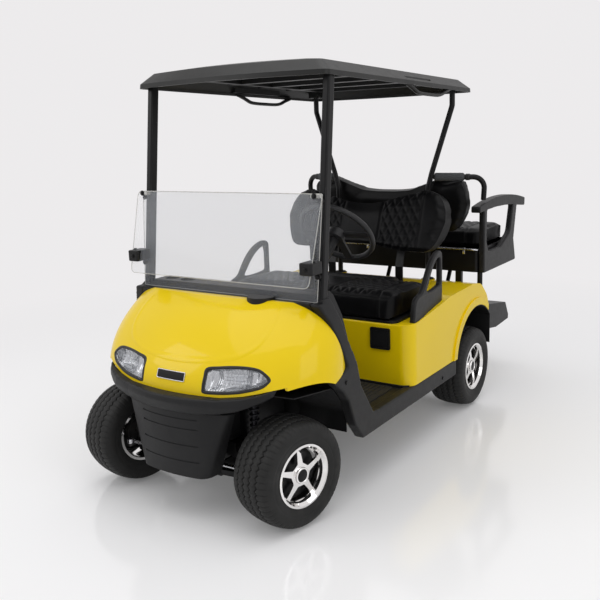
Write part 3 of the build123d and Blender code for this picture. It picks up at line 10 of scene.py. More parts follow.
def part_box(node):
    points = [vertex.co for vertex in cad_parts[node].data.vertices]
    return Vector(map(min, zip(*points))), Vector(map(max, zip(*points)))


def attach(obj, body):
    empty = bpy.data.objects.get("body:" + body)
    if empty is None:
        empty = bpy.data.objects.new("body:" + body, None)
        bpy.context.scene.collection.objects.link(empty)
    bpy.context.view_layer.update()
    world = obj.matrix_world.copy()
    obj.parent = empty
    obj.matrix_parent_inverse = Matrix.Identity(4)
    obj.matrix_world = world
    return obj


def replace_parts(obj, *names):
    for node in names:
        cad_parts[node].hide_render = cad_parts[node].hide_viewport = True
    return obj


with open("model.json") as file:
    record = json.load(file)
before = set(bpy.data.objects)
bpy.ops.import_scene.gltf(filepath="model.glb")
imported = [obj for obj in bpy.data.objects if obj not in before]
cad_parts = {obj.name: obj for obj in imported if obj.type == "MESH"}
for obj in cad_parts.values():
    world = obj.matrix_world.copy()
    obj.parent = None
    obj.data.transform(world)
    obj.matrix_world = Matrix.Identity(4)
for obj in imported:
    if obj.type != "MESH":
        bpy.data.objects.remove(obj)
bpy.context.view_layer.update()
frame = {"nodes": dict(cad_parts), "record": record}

scene = bpy.context.scene
AXLE_Y = -1.1225  # the front axle's place; stations run rearward from it
SIDES = (("left", 1), ("right", -1))
X, Y, Z = Vector((1, 0, 0)), Vector((0, 1, 0)), Vector((0, 0, 1))


def place(name, data):
    obj = bpy.data.objects.new(name, data)
    scene.collection.objects.link(obj)
    return obj


def configured(thing, **settings):
    for key, value in settings.items():
        setattr(thing, key, value)
    return thing


# ---- camera ----
CAMERA_ANGLES = (34.26, 12.23, -2.10)  # azimuth, pitch and roll in degrees
CAMERA_PLACE = Vector((2.1954, -2.4453 + AXLE_Y, 1.5878))
FOCAL_LENGTH, PICTURE_WIDTH = 782.62, 600  # in pixels
SENSOR_WIDTH = 36


def camera():
    azimuth, pitch, roll = (math.radians(v) for v in CAMERA_ANGLES)
    turns = (azimuth, "Z"), (math.pi / 2 - pitch, "X"), (roll, "Z")
    matrix = Matrix.Translation(CAMERA_PLACE)
    for angle, axis in turns:
        matrix = matrix @ Matrix.Rotation(angle, 4, axis)
    data = configured(bpy.data.cameras.new("camera"), sensor_width=SENSOR_WIDTH, clip_end=60)
    data.lens = FOCAL_LENGTH / PICTURE_WIDTH * SENSOR_WIDTH
    scene.camera = configured(place("camera", data), matrix_world=matrix)


camera()


# ---- materials ----
SOCKETS = {"specular": "Specular IOR Level", "coat": "Coat Weight", "coat_roughness": "Coat Roughness",
           "metallic": "Metallic", "alpha": "Alpha"}


class Tree:
    """A node tree with short calls for the nodes that this scene uses."""

    def __init__(self, tree):
        self.tree = tree

    def put(self, node, values):
        """Sets inputs by name or number; another node's output is linked."""
        for key, value in values.items():
            if isinstance(value, bpy.types.NodeSocket):
                self.tree.links.new(value, node.inputs[key])
            else:
                node.inputs[key].default_value = value

    def new(self, kind, values, **settings):
        node = configured(self.tree.nodes.new(kind), **settings)
        self.put(node, values)
        return node.outputs

    def math(self, operation, a, b=0.0):
        return self.new("ShaderNodeMath", {0: a, 1: b}, operation=operation)[0]

    def mix(self, factor, first, second):
        return self.new("ShaderNodeMixShader", {0: factor, 1: first, 2: second})[0]

    def seen(self):
        """1 for what the camera sees, also in a reflection or through glass; 0 for light that falls on things."""
        path = self.new("ShaderNodeLightPath", {})
        direct = self.math("MAXIMUM", path["Is Camera Ray"], path["Is Glossy Ray"])
        return self.math("MAXIMUM", direct, path["Is Transmission Ray"])


class Material(Tree):
    """A material whose colour, roughness and relief come from procedural patterns."""

    def __init__(self, name, color=None, tint=None, rough=None, bumps=(), **sockets):
        """tint and a rough that varies are (noise scale, detail, low, high); sockets are further inputs, by SOCKETS.

        A bump is (pattern, scale, its detail, feature or direction, strength, distance).
        """
        self.mat = configured(bpy.data.materials.new(name), use_nodes=True)
        super().__init__(self.mat.node_tree)
        self.bsdf = self.tree.nodes["Principled BSDF"]
        self.coords = self.new("ShaderNodeTexCoord", {})["Object"]
        if tint:
            scale, detail, low, high = tint
            color = low  # stands in where patterns aren't drawn
        if isinstance(rough, tuple):
            rough = self.between(self.noise(*rough[:2]), *rough[2:])
        shader = {"Base Color": (*color, 1), "Roughness": rough}
        self.put(self.bsdf, {**shader, **{SOCKETS[key]: value for key, value in sockets.items()}})
        if tint:
            ramp = self.tree.nodes.new("ShaderNodeValToRGB")
            for element, place, shade in zip(ramp.color_ramp.elements, (0.3, 0.7), (low, high)):
                configured(element, position=place, color=(*shade, 1))
            self.put(ramp, {"Fac": self.noise(scale, detail)})
            self.put(self.bsdf, {"Base Color": ramp.outputs["Color"]})
        patterns = {"noise": self.noise, "cells": self.cells, "wave": self.wave}
        relief = {}
        for pattern, scale, option, strength, distance in bumps:
            height = patterns[pattern](scale, option)
            values = {"Strength": strength, "Distance": distance, "Height": height, **relief}
            relief = {"Normal": self.new("ShaderNodeBump", values)["Normal"]}
        self.put(self.bsdf, relief)

    def noise(self, scale, detail):
        return self.new("ShaderNodeTexNoise", {"Vector": self.coords, "Scale": scale, "Detail": detail})["Fac"]

    def cells(self, scale, feature):
        values = {"Vector": self.coords, "Scale": scale}
        return self.new("ShaderNodeTexVoronoi", values, feature=feature)["Distance"]

    def wave(self, scale, direction):
        values = {"Vector": self.coords, "Scale": scale}
        return self.new("ShaderNodeTexWave", values, bands_direction=direction)["Fac"]

    def between(self, factor, low, high, start=0.0, end=1.0):
        """A factor that runs from start to end, stretched to run from low to high."""
        values = {"Value": factor, "From Min": start, "From Max": end, "To Min": low, "To Max": high}
        return self.new("ShaderNodeMapRange", values)["Result"]


FINISHES = {
    "yellow_body": dict(
        tint=(1.6, 2, (0.89, 0.628, 0.001), (0.93, 0.662, 0.003)), rough=(9, 4, 0.30, 0.38),
        bumps=(("noise", 260, 2, 0.04, 0.0006),), specular=0.12, coat=0.35, coat_roughness=0.06,
    ),
    "black_moulding": dict(
        tint=(7, 4, (0.008, 0.008, 0.0085), (0.014, 0.014, 0.0145)), rough=(40, 4, 0.36, 0.52),
        bumps=(("cells", 620, "F1", 0.18, 0.0005),), specular=0.22,
    ),
    "black_steel": dict(
        tint=(12, 3, (0.004, 0.004, 0.0045), (0.007, 0.007, 0.0075)), rough=(60, 4, 0.26, 0.42),
        bumps=(("noise", 700, 3, 0.10, 0.0005),), specular=0.20,
    ),
    "roof_black": dict(
        tint=(4, 4, (0.010, 0.010, 0.0095), (0.015, 0.0152, 0.0145)), rough=(30, 4, 0.36, 0.48),
        bumps=(("cells", 480, "F1", 0.2, 0.0006),), specular=0.26,
    ),
    "vinyl": dict(
        tint=(8, 4, (0.0025, 0.0025, 0.003), (0.005, 0.005, 0.0055)), rough=(25, 4, 0.34, 0.46),
        bumps=(("cells", 300, "DISTANCE_TO_EDGE", 0.2, 0.0006), ("noise", 55, 5, 0.2, 0.001)),
        specular=0.13,
    ),
    "floor_rubber": dict(
        tint=(10, 5, (0.015, 0.015, 0.016), (0.027, 0.027, 0.028)), rough=(50, 4, 0.5, 0.7),
        bumps=(("noise", 500, 3, 0.3, 0.0008),), specular=0.3,
    ),
    "tyre": dict(
        tint=(14, 5, (0.010, 0.010, 0.0096), (0.018, 0.0177, 0.017)), rough=(35, 4, 0.52, 0.72),
        bumps=(("noise", 420, 4, 0.22, 0.0008),), specular=0.3,
    ),
    "chrome_wheel": dict(
        color=(0.83, 0.82, 0.81), rough=(28, 3, 0.05, 0.13), bumps=(("noise", 90, 3, 0.02, 0.0008),), metallic=1.0,
    ),
    "clear_pane": dict(color=(0.56, 0.58, 0.62), rough=(12, 3, 0.03, 0.09), alpha=0.095),
    "lamp_lens": dict(
        color=(0.80, 0.82, 0.85), rough=0.03, bumps=(("wave", 28, "X", 0.25, 0.002),), alpha=0.07, coat=0.4,
    ),
    "lamp_housing": dict(
        color=(0.50, 0.51, 0.53), rough=(60, 3, 0.08, 0.22), bumps=(("wave", 26, "X", 0.3, 0.003),), metallic=1.0,
    ),
    "axle_iron": dict(
        tint=(30, 5, (0.035, 0.035, 0.037), (0.075, 0.072, 0.068)), rough=0.55,
        bumps=(("noise", 220, 5, 0.35, 0.001),), metallic=0.7,
    ),
    "spring_steel": dict(
        color=(0.04, 0.04, 0.045), rough=(80, 4, 0.32, 0.5), bumps=(("noise", 300, 3, 0.12, 0.0006),), metallic=0.8,
    ),
    "battery_case": dict(
        color=(0.035, 0.035, 0.038), rough=(40, 3, 0.42, 0.58), bumps=(("cells", 350, "F1", 0.15, 0.0006),),
    ),
    "bright_steel": dict(
        color=(0.55, 0.55, 0.57), rough=(120, 4, 0.18, 0.36), bumps=(("noise", 400, 2, 0.05, 0.0005),), metallic=1.0,
    ),
    "grip": dict(
        tint=(20, 3, (0.012, 0.012, 0.013), (0.021, 0.021, 0.022)), rough=(60, 3, 0.4, 0.56),
        bumps=(("cells", 520, "F1", 0.28, 0.0007),), specular=0.34,
    ),
    "foam": dict(
        tint=(200, 4, (0.042, 0.044, 0.047), (0.072, 0.074, 0.078)), rough=0.85,
        bumps=(("noise", 900, 3, 0.5, 0.001),),
    ),
    "pale_acrylic": dict(color=(0.70, 0.69, 0.65), rough=(40, 3, 0.08, 0.2), alpha=0.46),
    "lamp_glass": dict(color=(0.70, 0.72, 0.76), rough=(80, 3, 0.04, 0.10), alpha=0.42, coat=0.6),
}
# finishes that the record has no slot of their own for
MATS = {name: Material(name, **finish).mat for name, finish in FINISHES.items()}


def paint(mesh, material):
    mesh.materials.clear()
    mesh.materials.append(MATS[material])


for part in frame["record"]["subparts"]:
    paint(frame["nodes"][part["node"]].data, part["material_slot"])
# the shells behind the lamps are plain black, since the reflectors are pieces of this scene
paint(frame["nodes"]["headlamp_housings"].data, "black_moulding")


# ---- floor, light and background ----
ROOM_WHITE = (0.846, 0.832, 0.840)
ROOM_LIGHT, ROOM_LIGHT_STRENGTH = (0.92, 0.93, 0.95), 0.55
FLOOR_LIFT = (0.10, 0.10, 0.10)
FLOOR_HALF = 40
FADE_START, FADE_END = 1.9, 4.6  # distance from the object over which the floor turns into the room
LAMPS = (
    # name, place, target, size, power
    ("lamp_over", (0.3, -0.6, 4.6), (0, 0, 0.6), 5.0, 100),
    ("lamp_key", (-3.2, -4.2, 3.4), (0, -0.4, 0.7), 2.4, 44),
    ("lamp_fill", (4.6, -1.6, 2.6), (0, 0, 0.8), 2.6, 30),
)


def studio_floor():
    """A glossy floor; away from the object it turns into the white room, near it, it keeps the shadow."""
    m = Material("studio_floor", color=(0.90, 0.89, 0.89), rough=(3, 3, 0.09, 0.15), specular=0.45)
    split = m.new("ShaderNodeSeparateXYZ", {0: m.coords})
    squares = [m.math("MULTIPLY", split[axis], split[axis]) for axis in "XY"]
    far = m.between(m.math("SQRT", m.math("ADD", *squares)), 0.0, 1.0, FADE_START, FADE_END)
    seen = m.seen()
    lift = m.new("ShaderNodeEmission", {"Color": (*FLOOR_LIFT, 1), "Strength": seen})[0]
    lifted = m.new("ShaderNodeAddShader", {0: m.bsdf.outputs[0], 1: lift})[0]
    white = m.new("ShaderNodeEmission", {"Color": (*ROOM_WHITE, 1)})[0]
    m.put(m.tree.nodes["Material Output"], {"Surface": m.mix(m.math("MULTIPLY", far, seen), lifted, white)})
    corners = [(x * FLOOR_HALF, y * FLOOR_HALF, 0) for x, y in ((-1, -1), (1, -1), (1, 1), (-1, 1))]
    mesh = bpy.data.meshes.new("studio_floor")
    mesh.from_pydata(corners, [], [(0, 1, 2, 3)])
    mesh.materials.append(m.mat)
    place("studio_floor", mesh)


def studio_room():
    """The white room that the camera sees, its softer light and three lamps."""
    world = configured(bpy.data.worlds.new("studio"), use_nodes=True)
    world.node_tree.nodes.clear()
    room = Tree(world.node_tree)
    light = room.new("ShaderNodeBackground", {"Color": (*ROOM_LIGHT, 1), "Strength": ROOM_LIGHT_STRENGTH})[0]
    white = room.new("ShaderNodeBackground", {"Color": (*ROOM_WHITE, 1), "Strength": 1.0})[0]
    room.new("ShaderNodeOutputWorld", {"Surface": room.mix(room.seen(), light, white)})
    scene.world = world
    for name, spot, target, size, power in LAMPS:
        data = configured(bpy.data.lights.new(name, "AREA"), shape="RECTANGLE", size=size, size_y=size, energy=power)
        turn = (Vector(target) - Vector(spot)).to_track_quat("-Z", "Y").to_euler()
        configured(place(name, data), location=spot, rotation_euler=turn)


studio_floor()
studio_room()
scene.view_settings.view_transform = "Standard"


# ---- mesh helpers ----
def piece(name, verts, faces, material, body="cart", smooth=True):
    """A mesh piece in the row frame that rides on a body."""
    mesh = bpy.data.meshes.new(name)
    mesh.from_pydata([tuple(v) for v in verts], [], [tuple(f) for f in faces])
    mesh.update()
    return dress(place(name, mesh), material, body, smooth)


def dress(obj, material, body="cart", smooth=True):
    """Gives an object its finish and the body that it rides on."""
    shade(obj, smooth)
    paint(obj.data, material)
    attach(obj, body)
    return obj


def shade(obj, smooth=True):
    for polygon in obj.data.polygons:
        polygon.use_smooth = smooth


def grid_faces(rows, columns, close_rows=False, close_columns=False):
    """Quads of a grid whose point (i, j) has the index i * columns + j."""
    faces = []
    for i in range(rows if close_rows else rows - 1):
        for j in range(columns if close_columns else columns - 1):
            a, b = i * columns, (i + 1) % rows * columns
            k = (j + 1) % columns
            faces.append((a + j, a + k, b + k, b + j))
    return faces


def at(x, station, z):
    """A point in metres from millimetres: cart's left, station behind the front axle, height."""
    return Vector((x / 1000, station / 1000 + AXLE_Y, z / 1000))


def tree_of(*names):
    """A search tree over CAD nodes' surfaces."""
    verts, faces = [], []
    for name in names:
        mesh = frame["nodes"][name].data
        base = len(verts)
        verts += [v.co.copy() for v in mesh.vertices]
        faces += [[base + i for i in p.vertices] for p in mesh.polygons]
    return BVHTree.FromPolygons(verts, faces)


def from_front(tree, *places):
    """Where a ray from the front meets a surface at the first (x, z) that has one, with the normal that faces it."""
    for x, z in places:
        hit, normal, _, _ = tree.ray_cast(Vector((x, -2, z)), Y)
        if hit is not None:
            return hit, -normal if normal.dot(Y) > 0 else normal
    return None, None


def pad_start(name, node, voxel, shrink, rounds):
    """A rounded copy of a CAD solid in even quads, drawn in by shrink (or grown, where that is below zero)."""
    obj = place(name, frame["nodes"][node].data.copy())
    configured(obj.modifiers.new("remesh", "REMESH"), mode="VOXEL", voxel_size=voxel)
    configured(obj.modifiers.new("inset", "DISPLACE"), strength=-shrink, mid_level=0.0)
    soften(obj, rounds)
    return obj


def soften(obj, rounds):
    configured(obj.modifiers.new("soften", "SMOOTH"), iterations=rounds, factor=0.5)
    apply_modifiers(obj)
    shade(obj)


def apply_modifiers(obj):
    """Replaces an object's mesh by what its modifiers make of it."""
    made = evaluated_mesh(obj)
    obj.modifiers.clear()
    obj.data = made


def evaluated_mesh(obj):
    graph = bpy.context.evaluated_depsgraph_get()
    graph.update()
    return bpy.data.meshes.new_from_object(obj.evaluated_get(graph))


def positions(mesh):
    points = np.empty(len(mesh.vertices) * 3)
    mesh.vertices.foreach_get("co", points)
    return points.reshape(-1, 3)


def normals(mesh):
    values = np.empty(len(mesh.vertices) * 3)
    mesh.vertices.foreach_get("normal", values)
    return values.reshape(-1, 3)


def move_to(mesh, points):
    mesh.vertices.foreach_set("co", points.ravel())
    mesh.update()


def moulded(name, node, voxel, rounds, grow):
    """A CAD moulding with its edges rounded off; it stays inside the CAD node's box."""
    obj = pad_start(name, node, voxel, -grow, rounds)
    low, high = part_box(node)
    move_to(obj.data, np.clip(positions(obj.data), np.array(low), np.array(high)))
    dress(obj, "black_moulding")
    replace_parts(obj, node)
    return obj


# ---- tyres ----
STEER = math.radians(-12.9)  # the front wheels stand turned to the cart's right
TREAD_HALF = 0.084
CROWN_DROP, CROWN_POWER = 0.010, 2.4
PITCHES = 54
SAMPLES = (0.0, 0.10, 0.18, 0.42, 0.50, 0.60, 0.68, 0.92)  # places of the rows within a pitch
LUG_SAMPLE = 1  # the row that is cut across the blocks
RIB_CUT, SHOULDER_CUT, SHOULDER_RADIUS = 0.0022, 0.0045, 0.205
GROOVES = (-0.054, -0.018, 0.018, 0.054)
GROOVE_HALF, GROOVE_WALL, GROOVE_LIP, GROOVE_DEPTH, GROOVE_SWING = 0.0030, 0.0012, 0.0015, 0.0065, 0.0055
# a sidewall from the shoulder to the bead: distance from the middle plane, radius
SIDEWALL = (
    (0.0905, 0.2150), (0.0960, 0.2085), (0.1000, 0.2000), (0.1018, 0.1900), (0.1025, 0.1790), (0.1015, 0.1680),
    (0.1005, 0.1664), (0.1007, 0.1640), (0.0990, 0.1560), (0.0965, 0.1480), (0.0940, 0.1420), (0.0928, 0.1400),
    (0.0930, 0.1380), (0.0905, 0.1340), (0.0870, 0.1295), (0.0800, 0.128),
)


def tread_columns():
    """Points across the tread: place, depth below the crown, the same at a lug's cut, way that it sways."""
    columns = [(-TREAD_HALF, 0.0, SHOULDER_CUT, 0)]
    last = -TREAD_HALF
    for index, groove in enumerate(GROOVES):
        columns.append(((last + groove) / 2, 0.0, RIB_CUT, 0))
        half = ((-GROOVE_WALL, 0.0), (0.0, GROOVE_LIP), (GROOVE_WALL, GROOVE_DEPTH))
        wall = [(-GROOVE_HALF + offset, below) for offset, below in half]
        for offset, below in wall + [(-offset, below) for offset, below in reversed(wall)]:
            columns.append((groove + offset, below, below, 1 if index % 2 else -1))
        last = groove
    return columns + [((last + TREAD_HALF) / 2, 0.0, RIB_CUT, 0), (TREAD_HALF, 0.0, SHOULDER_CUT, 0)]


def centre_of(node):
    """Middle of a node's box and half its height."""
    low, high = (Vector(v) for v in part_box(node))
    return (low + high) / 2, (high.z - low.z) / 2


def tyre(name, node, body, axis):
    """A tyre with ribs between waved grooves, blocks at the shoulders and a ringed sidewall."""
    centre, radius = centre_of(node)
    columns = tread_columns()
    spin = Matrix((axis, Z.cross(axis).normalized(), Z)).transposed()
    verts = []
    for i in range(PITCHES * len(SAMPLES)):
        pitch, k = divmod(i, len(SAMPLES))
        theta = 2 * math.pi * (pitch + SAMPLES[k]) / PITCHES
        wave = 4 * abs(SAMPLES[k] - 0.5) - 1  # a zigzag from 1 down to -1 and back once a pitch
        lug = k == LUG_SAMPLE
        side = [(w, r - (SHOULDER_CUT if lug and r > SHOULDER_RADIUS else 0.0)) for w, r in SIDEWALL]
        ring = [(-w, r) for w, r in reversed(side)]
        for w, below, below_at_lug, sway in columns:
            w += GROOVE_SWING * wave * sway
            crown = radius - CROWN_DROP * (abs(w) / TREAD_HALF) ** CROWN_POWER
            ring.append((w, crown - (below_at_lug if lug else below)))
        for w, r in ring + side:
            verts.append(centre + spin @ Vector((w, r * math.sin(theta), r * math.cos(theta))))
    faces = grid_faces(PITCHES * len(SAMPLES), len(SIDEWALL) * 2 + len(columns), close_rows=True)
    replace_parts(piece(name, verts, faces, "tyre", body), node)


for side_name, _ in SIDES:
    steered = Vector((math.cos(STEER), math.sin(STEER), 0))
    tyre(f"front_tyre_{side_name}", f"tyre_front_{side_name}", f"wheel_front_{side_name}", steered)
    tyre(f"rear_tyre_{side_name}", f"tyre_rear_{side_name}", f"wheel_rear_{side_name}", X)


# ---- shape helpers ----
def frame_of(normal):
    """Two directions across a normal, the second as near to upright as it can be."""
    normal = normal.normalized()
    across = Z.cross(normal)
    if across.length < 1e-6:
        across = X.copy()
    across.normalize()
    return across, normal.cross(across)


def circle(count):
    return [2 * math.pi * k / count for k in range(count)]


def lathe(name, profile, centre, axis, material, body, count):
    """A profile of (distance along the axis, radius) turned round the axis."""
    across, up = frame_of(axis)
    axis = axis.normalized()
    verts = []
    for angle in circle(count):
        spoke = across * math.cos(angle) + up * math.sin(angle)
        verts += [centre + axis * run + spoke * radius for run, radius in profile]
    piece(name, verts, grid_faces(count, len(profile), close_rows=True), material, body)


def tube_mesh(points, radius, count, closed=False, flat=1.0):
    """Vertices and faces of a round rod along points; flat squeezes its section across its second direction."""
    points = [Vector(p) for p in points]
    total = len(points)
    radii = radius if isinstance(radius, list) else [radius] * total
    verts = []
    across = None
    for i, (point, r) in enumerate(zip(points, radii)):
        after = points[(i + 1) % total] if closed or i + 1 < total else point
        before = points[i - 1] if closed or i > 0 else point
        along = (after - before).normalized()
        if across is None:
            across, _ = frame_of(along)
        across = (across - along * across.dot(along)).normalized()
        up = along.cross(across)
        for angle in circle(count):
            verts.append(point + across * (r * math.cos(angle)) + up * (r * flat * math.sin(angle)))
    faces = grid_faces(total, count, close_rows=closed, close_columns=True)
    return verts, faces if closed else faces + end_caps(total, count)


def end_caps(layers, count):
    return [tuple(range(count))[::-1], tuple((layers - 1) * count + k for k in range(count))]


def tube(name, points, radius, material, body="cart", count=12, flat=1.0):
    piece(name, *tube_mesh(points, radius, count, flat=flat), material, body)


def curve_points(points, steps, closed=False):
    """A smooth line through points, as Catmull-Rom runs."""
    points = [Vector(p) for p in points]
    total = len(points)
    out = []
    for i in range(total if closed else total - 1):
        near = (i + k for k in (-1, 0, 1, 2))
        a, b, c, d = (points[k % total if closed else min(max(k, 0), total - 1)] for k in near)
        for step in range(steps):
            t = step / steps
            out.append(0.5 * ((2 * b) + (c - a) * t + (2 * a - 5 * b + 4 * c - d) * t * t
                              + (3 * b - a - 3 * c + d) * t ** 3))
    return out if closed else out + [points[-1]]


def join(name, parts, material, smooth=True):
    """One piece from several (vertices, faces) pairs."""
    verts, faces = [], []
    for part_verts, part_faces in parts:
        base = len(verts)
        verts += part_verts
        faces += [tuple(base + i for i in face) for face in part_faces]
    return piece(name, verts, faces, material, smooth=smooth)


def layered(outlines, cap_first=True, cap_last=True):
    """A form through outlines with the same number of points, closed at the ends that have a cap."""
    count = len(outlines[0])
    verts = [v for outline in outlines for v in outline]
    first, last = end_caps(len(outlines), count)
    faces = grid_faces(len(outlines), count, close_columns=True)
    return verts, faces + [first] * cap_first + [last] * cap_last


def bolt_mesh(foot, normal, radius, height):
    """A hexagon head with a chamfered top on a washer, as (vertices, faces) pairs."""
    across, up = frame_of(normal)
    seat = 0.0016  # the washer's top, where the head stands

    def stack(count, *rings):
        outlines = [[foot + normal * run + across * (r * math.cos(a)) + up * (r * math.sin(a))
                     for a in circle(count)] for r, run in rings]
        return layered(outlines, cap_first=False)

    return [
        stack(20, (radius * 1.55, -0.0005), (radius * 1.55, 0.0012), (radius * 1.4, 0.0017)),
        stack(6, (radius, seat), (radius, seat + height * 0.8), (radius * 0.82, seat + height)),
    ]


def bolts(name, places, radius, height):
    parts = [part for foot, normal in places for part in bolt_mesh(foot, normal, radius, height)]
    join(name, parts, "black_steel", smooth=False)


def round_rect(width, height, radius, steps=5):
    """Points round a rectangle with rounded corners, centred, as (x, z) pairs."""
    out = []
    for cx, cz, start in ((1, 1, 0), (-1, 1, 90), (-1, -1, 180), (1, -1, 270)):
        for k in range(steps + 1):
            angle = math.radians(start + 90 * k / steps)
            out.append((cx * (width / 2 - radius) + radius * math.cos(angle),
                        cz * (height / 2 - radius) + radius * math.sin(angle)))
    return out


def rounded_box(centre, size, radius, bevel=0.003, axes=(X, Y, Z)):
    """Vertices and faces of a box with rounded upright edges and bevelled rims; axes are its x, y, z."""
    ax, ay, az = axes
    rings = []
    for run, inset in ((-1, bevel), (-1, 0.0), (1, 0.0), (1, bevel)):
        level = run * (size[2] / 2 - (0 if inset else bevel))
        outline = round_rect(size[0] - 2 * inset, size[1] - 2 * inset, max(radius - inset, 0.001), 4)
        rings.append([centre + ax * x + ay * y + az * level for x, y in outline])
    return layered(rings)


# ---- nose: bonnet panel edge, bare badge plate, lamps ----
cowl_tree = tree_of("front_cowl")
lens_tree = tree_of("headlamp_lenses")
lamp_tree = tree_of("headlamp_lenses", "headlamp_housings", "front_cowl")
# half of the bonnet's raised edge in front view: x, height, in millimetres
BONNET_EDGE = (
    (0, 680), (60, 681), (130, 685), (200, 692), (262, 703), (312, 722), (346, 748), (363, 780), (367, 815),
    (362, 850), (352, 884),
)
# across the edge: distance inward, height above the cowl
BONNET_PROFILE = (
    (-0.017, -0.0012), (-0.011, -0.0002), (-0.006, 0.0012), (-0.0015, 0.0022), (0.003, 0.0023), (0.008, 0.0014),
    (0.016, 0.0004), (0.026, -0.0010),
)
BADGE_WIDTH, BADGE_HEIGHT, BADGE_Z = 0.152, 0.037, 0.619
BADGE_MARGIN, BADGE_LIFT = 0.006, 0.0030
# the left lamp's outline in front view: x, height, in millimetres
LAMP = (
    (168, 664), (224, 673), (280, 678), (340, 678), (386, 671), (420, 652), (437, 634), (430, 618), (406, 599),
    (350, 583), (300, 574), (230, 568), (170, 568), (163, 590), (164, 630),
)
# the reflector's bowls: x, height, depth, steepness; between them lies a shelf
BOWLS = ((0.300, 0.622, 0.052, 9.5), (0.398, 0.634, 0.044, 16), (0.205, 0.620, 0.036, 14))
SHELF_DEPTH, STEP_DEPTH, STEP_PITCH, LENS_GAP = 0.010, 0.0016, 0.012, 0.006
LENS_Y = -1.25  # stands in where no ray meets the lens
# the bulbs: name, x, height, radius, length
BULBS = (("main", 0.300, 0.622, 0.013, 0.030), ("turn", 0.398, 0.634, 0.009, 0.020))
# across the gasket: distance inside the lamp's outline, height above the cowl
GASKET = ((-0.0015, -0.001), (-0.001, 0.0012), (0.002, 0.0022), (0.006, 0.0022), (0.009, 0.001), (0.0105, -0.004))


def in_front_view(outline):
    return [Vector((x / 1000, 0, z / 1000)) for x, z in outline]


def bonnet_edge():
    """A soft raised edge round the bonnet, open at the windshield's foot."""
    right = in_front_view(BONNET_EDGE)
    line = curve_points([Vector((-p.x, 0, p.z)) for p in reversed(right[1:])] + right, 7)
    verts = []
    count = len(line)
    for i, point in enumerate(line):
        along = (line[min(i + 1, count - 1)] - line[max(i - 1, 0)]).normalized()
        inward = Vector((-along.z, 0, along.x))
        fade = min(1.0, min(i, count - 1 - i) / 5)
        for offset, lift in BONNET_PROFILE:
            spot = point + inward * offset
            hit, normal = from_front(cowl_tree, (spot.x, spot.z), (spot.x, spot.z - 0.01))
            verts.append(hit + normal * (lift * fade - 0.0002 - (1 - fade) * 0.001))
    soften(piece("bonnet_edge", verts, grid_faces(count, len(BONNET_PROFILE)), "yellow_body"), 6)


def on_nose(x, z, lift):
    hit, normal = from_front(cowl_tree, (x, BADGE_Z + z))
    return hit + normal * lift


def badge_plate():
    """A bare plate in a bright frame, bent to the nose."""
    outline = round_rect(BADGE_WIDTH, BADGE_HEIGHT, 0.005)
    base = []
    for i, (x, z) in enumerate(outline):
        nx, nz = outline[(i + 1) % len(outline)]
        parts = max(1, int(math.hypot(nx - x, nz - z) / 0.008))
        base += [(x + (nx - x) * k / parts, z + (nz - z) * k / parts) for k in range(parts)]
    rings = []
    for inset, lift in ((0, -0.001), (0, 0.0035), (0.0010, 0.0045), (0.0026, 0.0045), (0.0034, 0.0030)):
        wide, high = 1 - 2 * inset / BADGE_WIDTH, 1 - 2 * inset / BADGE_HEIGHT
        rings.append([on_nose(x * wide, z * high, lift) for x, z in base])
    piece("badge_frame", *layered(rings, False, False), "bright_steel")
    columns, rows = 24, 6
    across = [(j / (columns - 1) - 0.5) * (BADGE_WIDTH - BADGE_MARGIN) for j in range(columns)]
    upward = [(i / (rows - 1) - 0.5) * (BADGE_HEIGHT - BADGE_MARGIN) for i in range(rows)]
    verts = [on_nose(x, z, BADGE_LIFT) for z in upward for x in across]
    piece("badge_plate", verts, grid_faces(rows, columns), "black_steel")


def lamp_edge(inset):
    """The left lamp's outline in front view, drawn inset, as (x, z) in metres."""
    loop = curve_points(in_front_view(LAMP), 5, closed=True)
    out = []
    for i, point in enumerate(loop):
        along = (loop[(i + 1) % len(loop)] - loop[i - 1]).normalized()
        spot = point + Vector((along.z, 0, -along.x)) * inset
        out.append((spot.x, spot.z))
    return out


def bowl_depth(x, z):
    return max(SHELF_DEPTH, *(deep - ((x - cx) ** 2 + (z - cz) ** 2) * steep for cx, cz, deep, steep in BOWLS))


def lamp_reflector(side_name, sign):
    """Dished bowls and a stepped shelf between them, behind the lens."""
    edge = lamp_edge(0.011)
    centre = Vector((0.300, 0, 0.624))
    rings = 16
    verts = []
    for k in range(rings + 1):
        t = 1 - k / rings * 0.985
        for x, z in edge:
            px, pz = centre.x + (x - centre.x) * t, centre.z + (z - centre.z) * t
            spare = (centre.x + (px - centre.x) * 0.97) * sign, centre.z + (pz - centre.z) * 0.97
            hit, _ = from_front(lens_tree, (px * sign, pz), spare)
            base = hit.y if hit is not None else LENS_Y
            step = STEP_DEPTH * math.cos(px * 2 * math.pi / STEP_PITCH) if t < 0.9 else 0.0
            verts.append((px * sign, base + LENS_GAP + bowl_depth(px, pz) * min(1, (1 - t) * 5) + step, pz))
    faces = grid_faces(rings + 1, len(edge), close_columns=True) + end_caps(rings + 1, len(edge))[1:]
    piece(f"lamp_reflector_{side_name}", verts, faces, "lamp_housing")


def lamp_bulbs(side_name, sign):
    """The main bulb's shield and the turn lamp's bulb."""
    for label, x, z, r, length in BULBS:
        hit, _ = from_front(lens_tree, (x * sign, z))
        foot = Vector((x * sign, hit.y + LENS_GAP + bowl_depth(x, z), z))
        profile = ((-0.004, r * 0.7), (0, r * 0.8), (length * 0.5, r * 0.8), (length * 0.55, r), (length * 0.85, r),
                   (length * 0.96, r * 0.7), (length, r * 0.3), (length, 0.0001))
        lathe(f"lamp_{label}_{side_name}", profile, foot, -Y, "lamp_glass", "cart", 24)


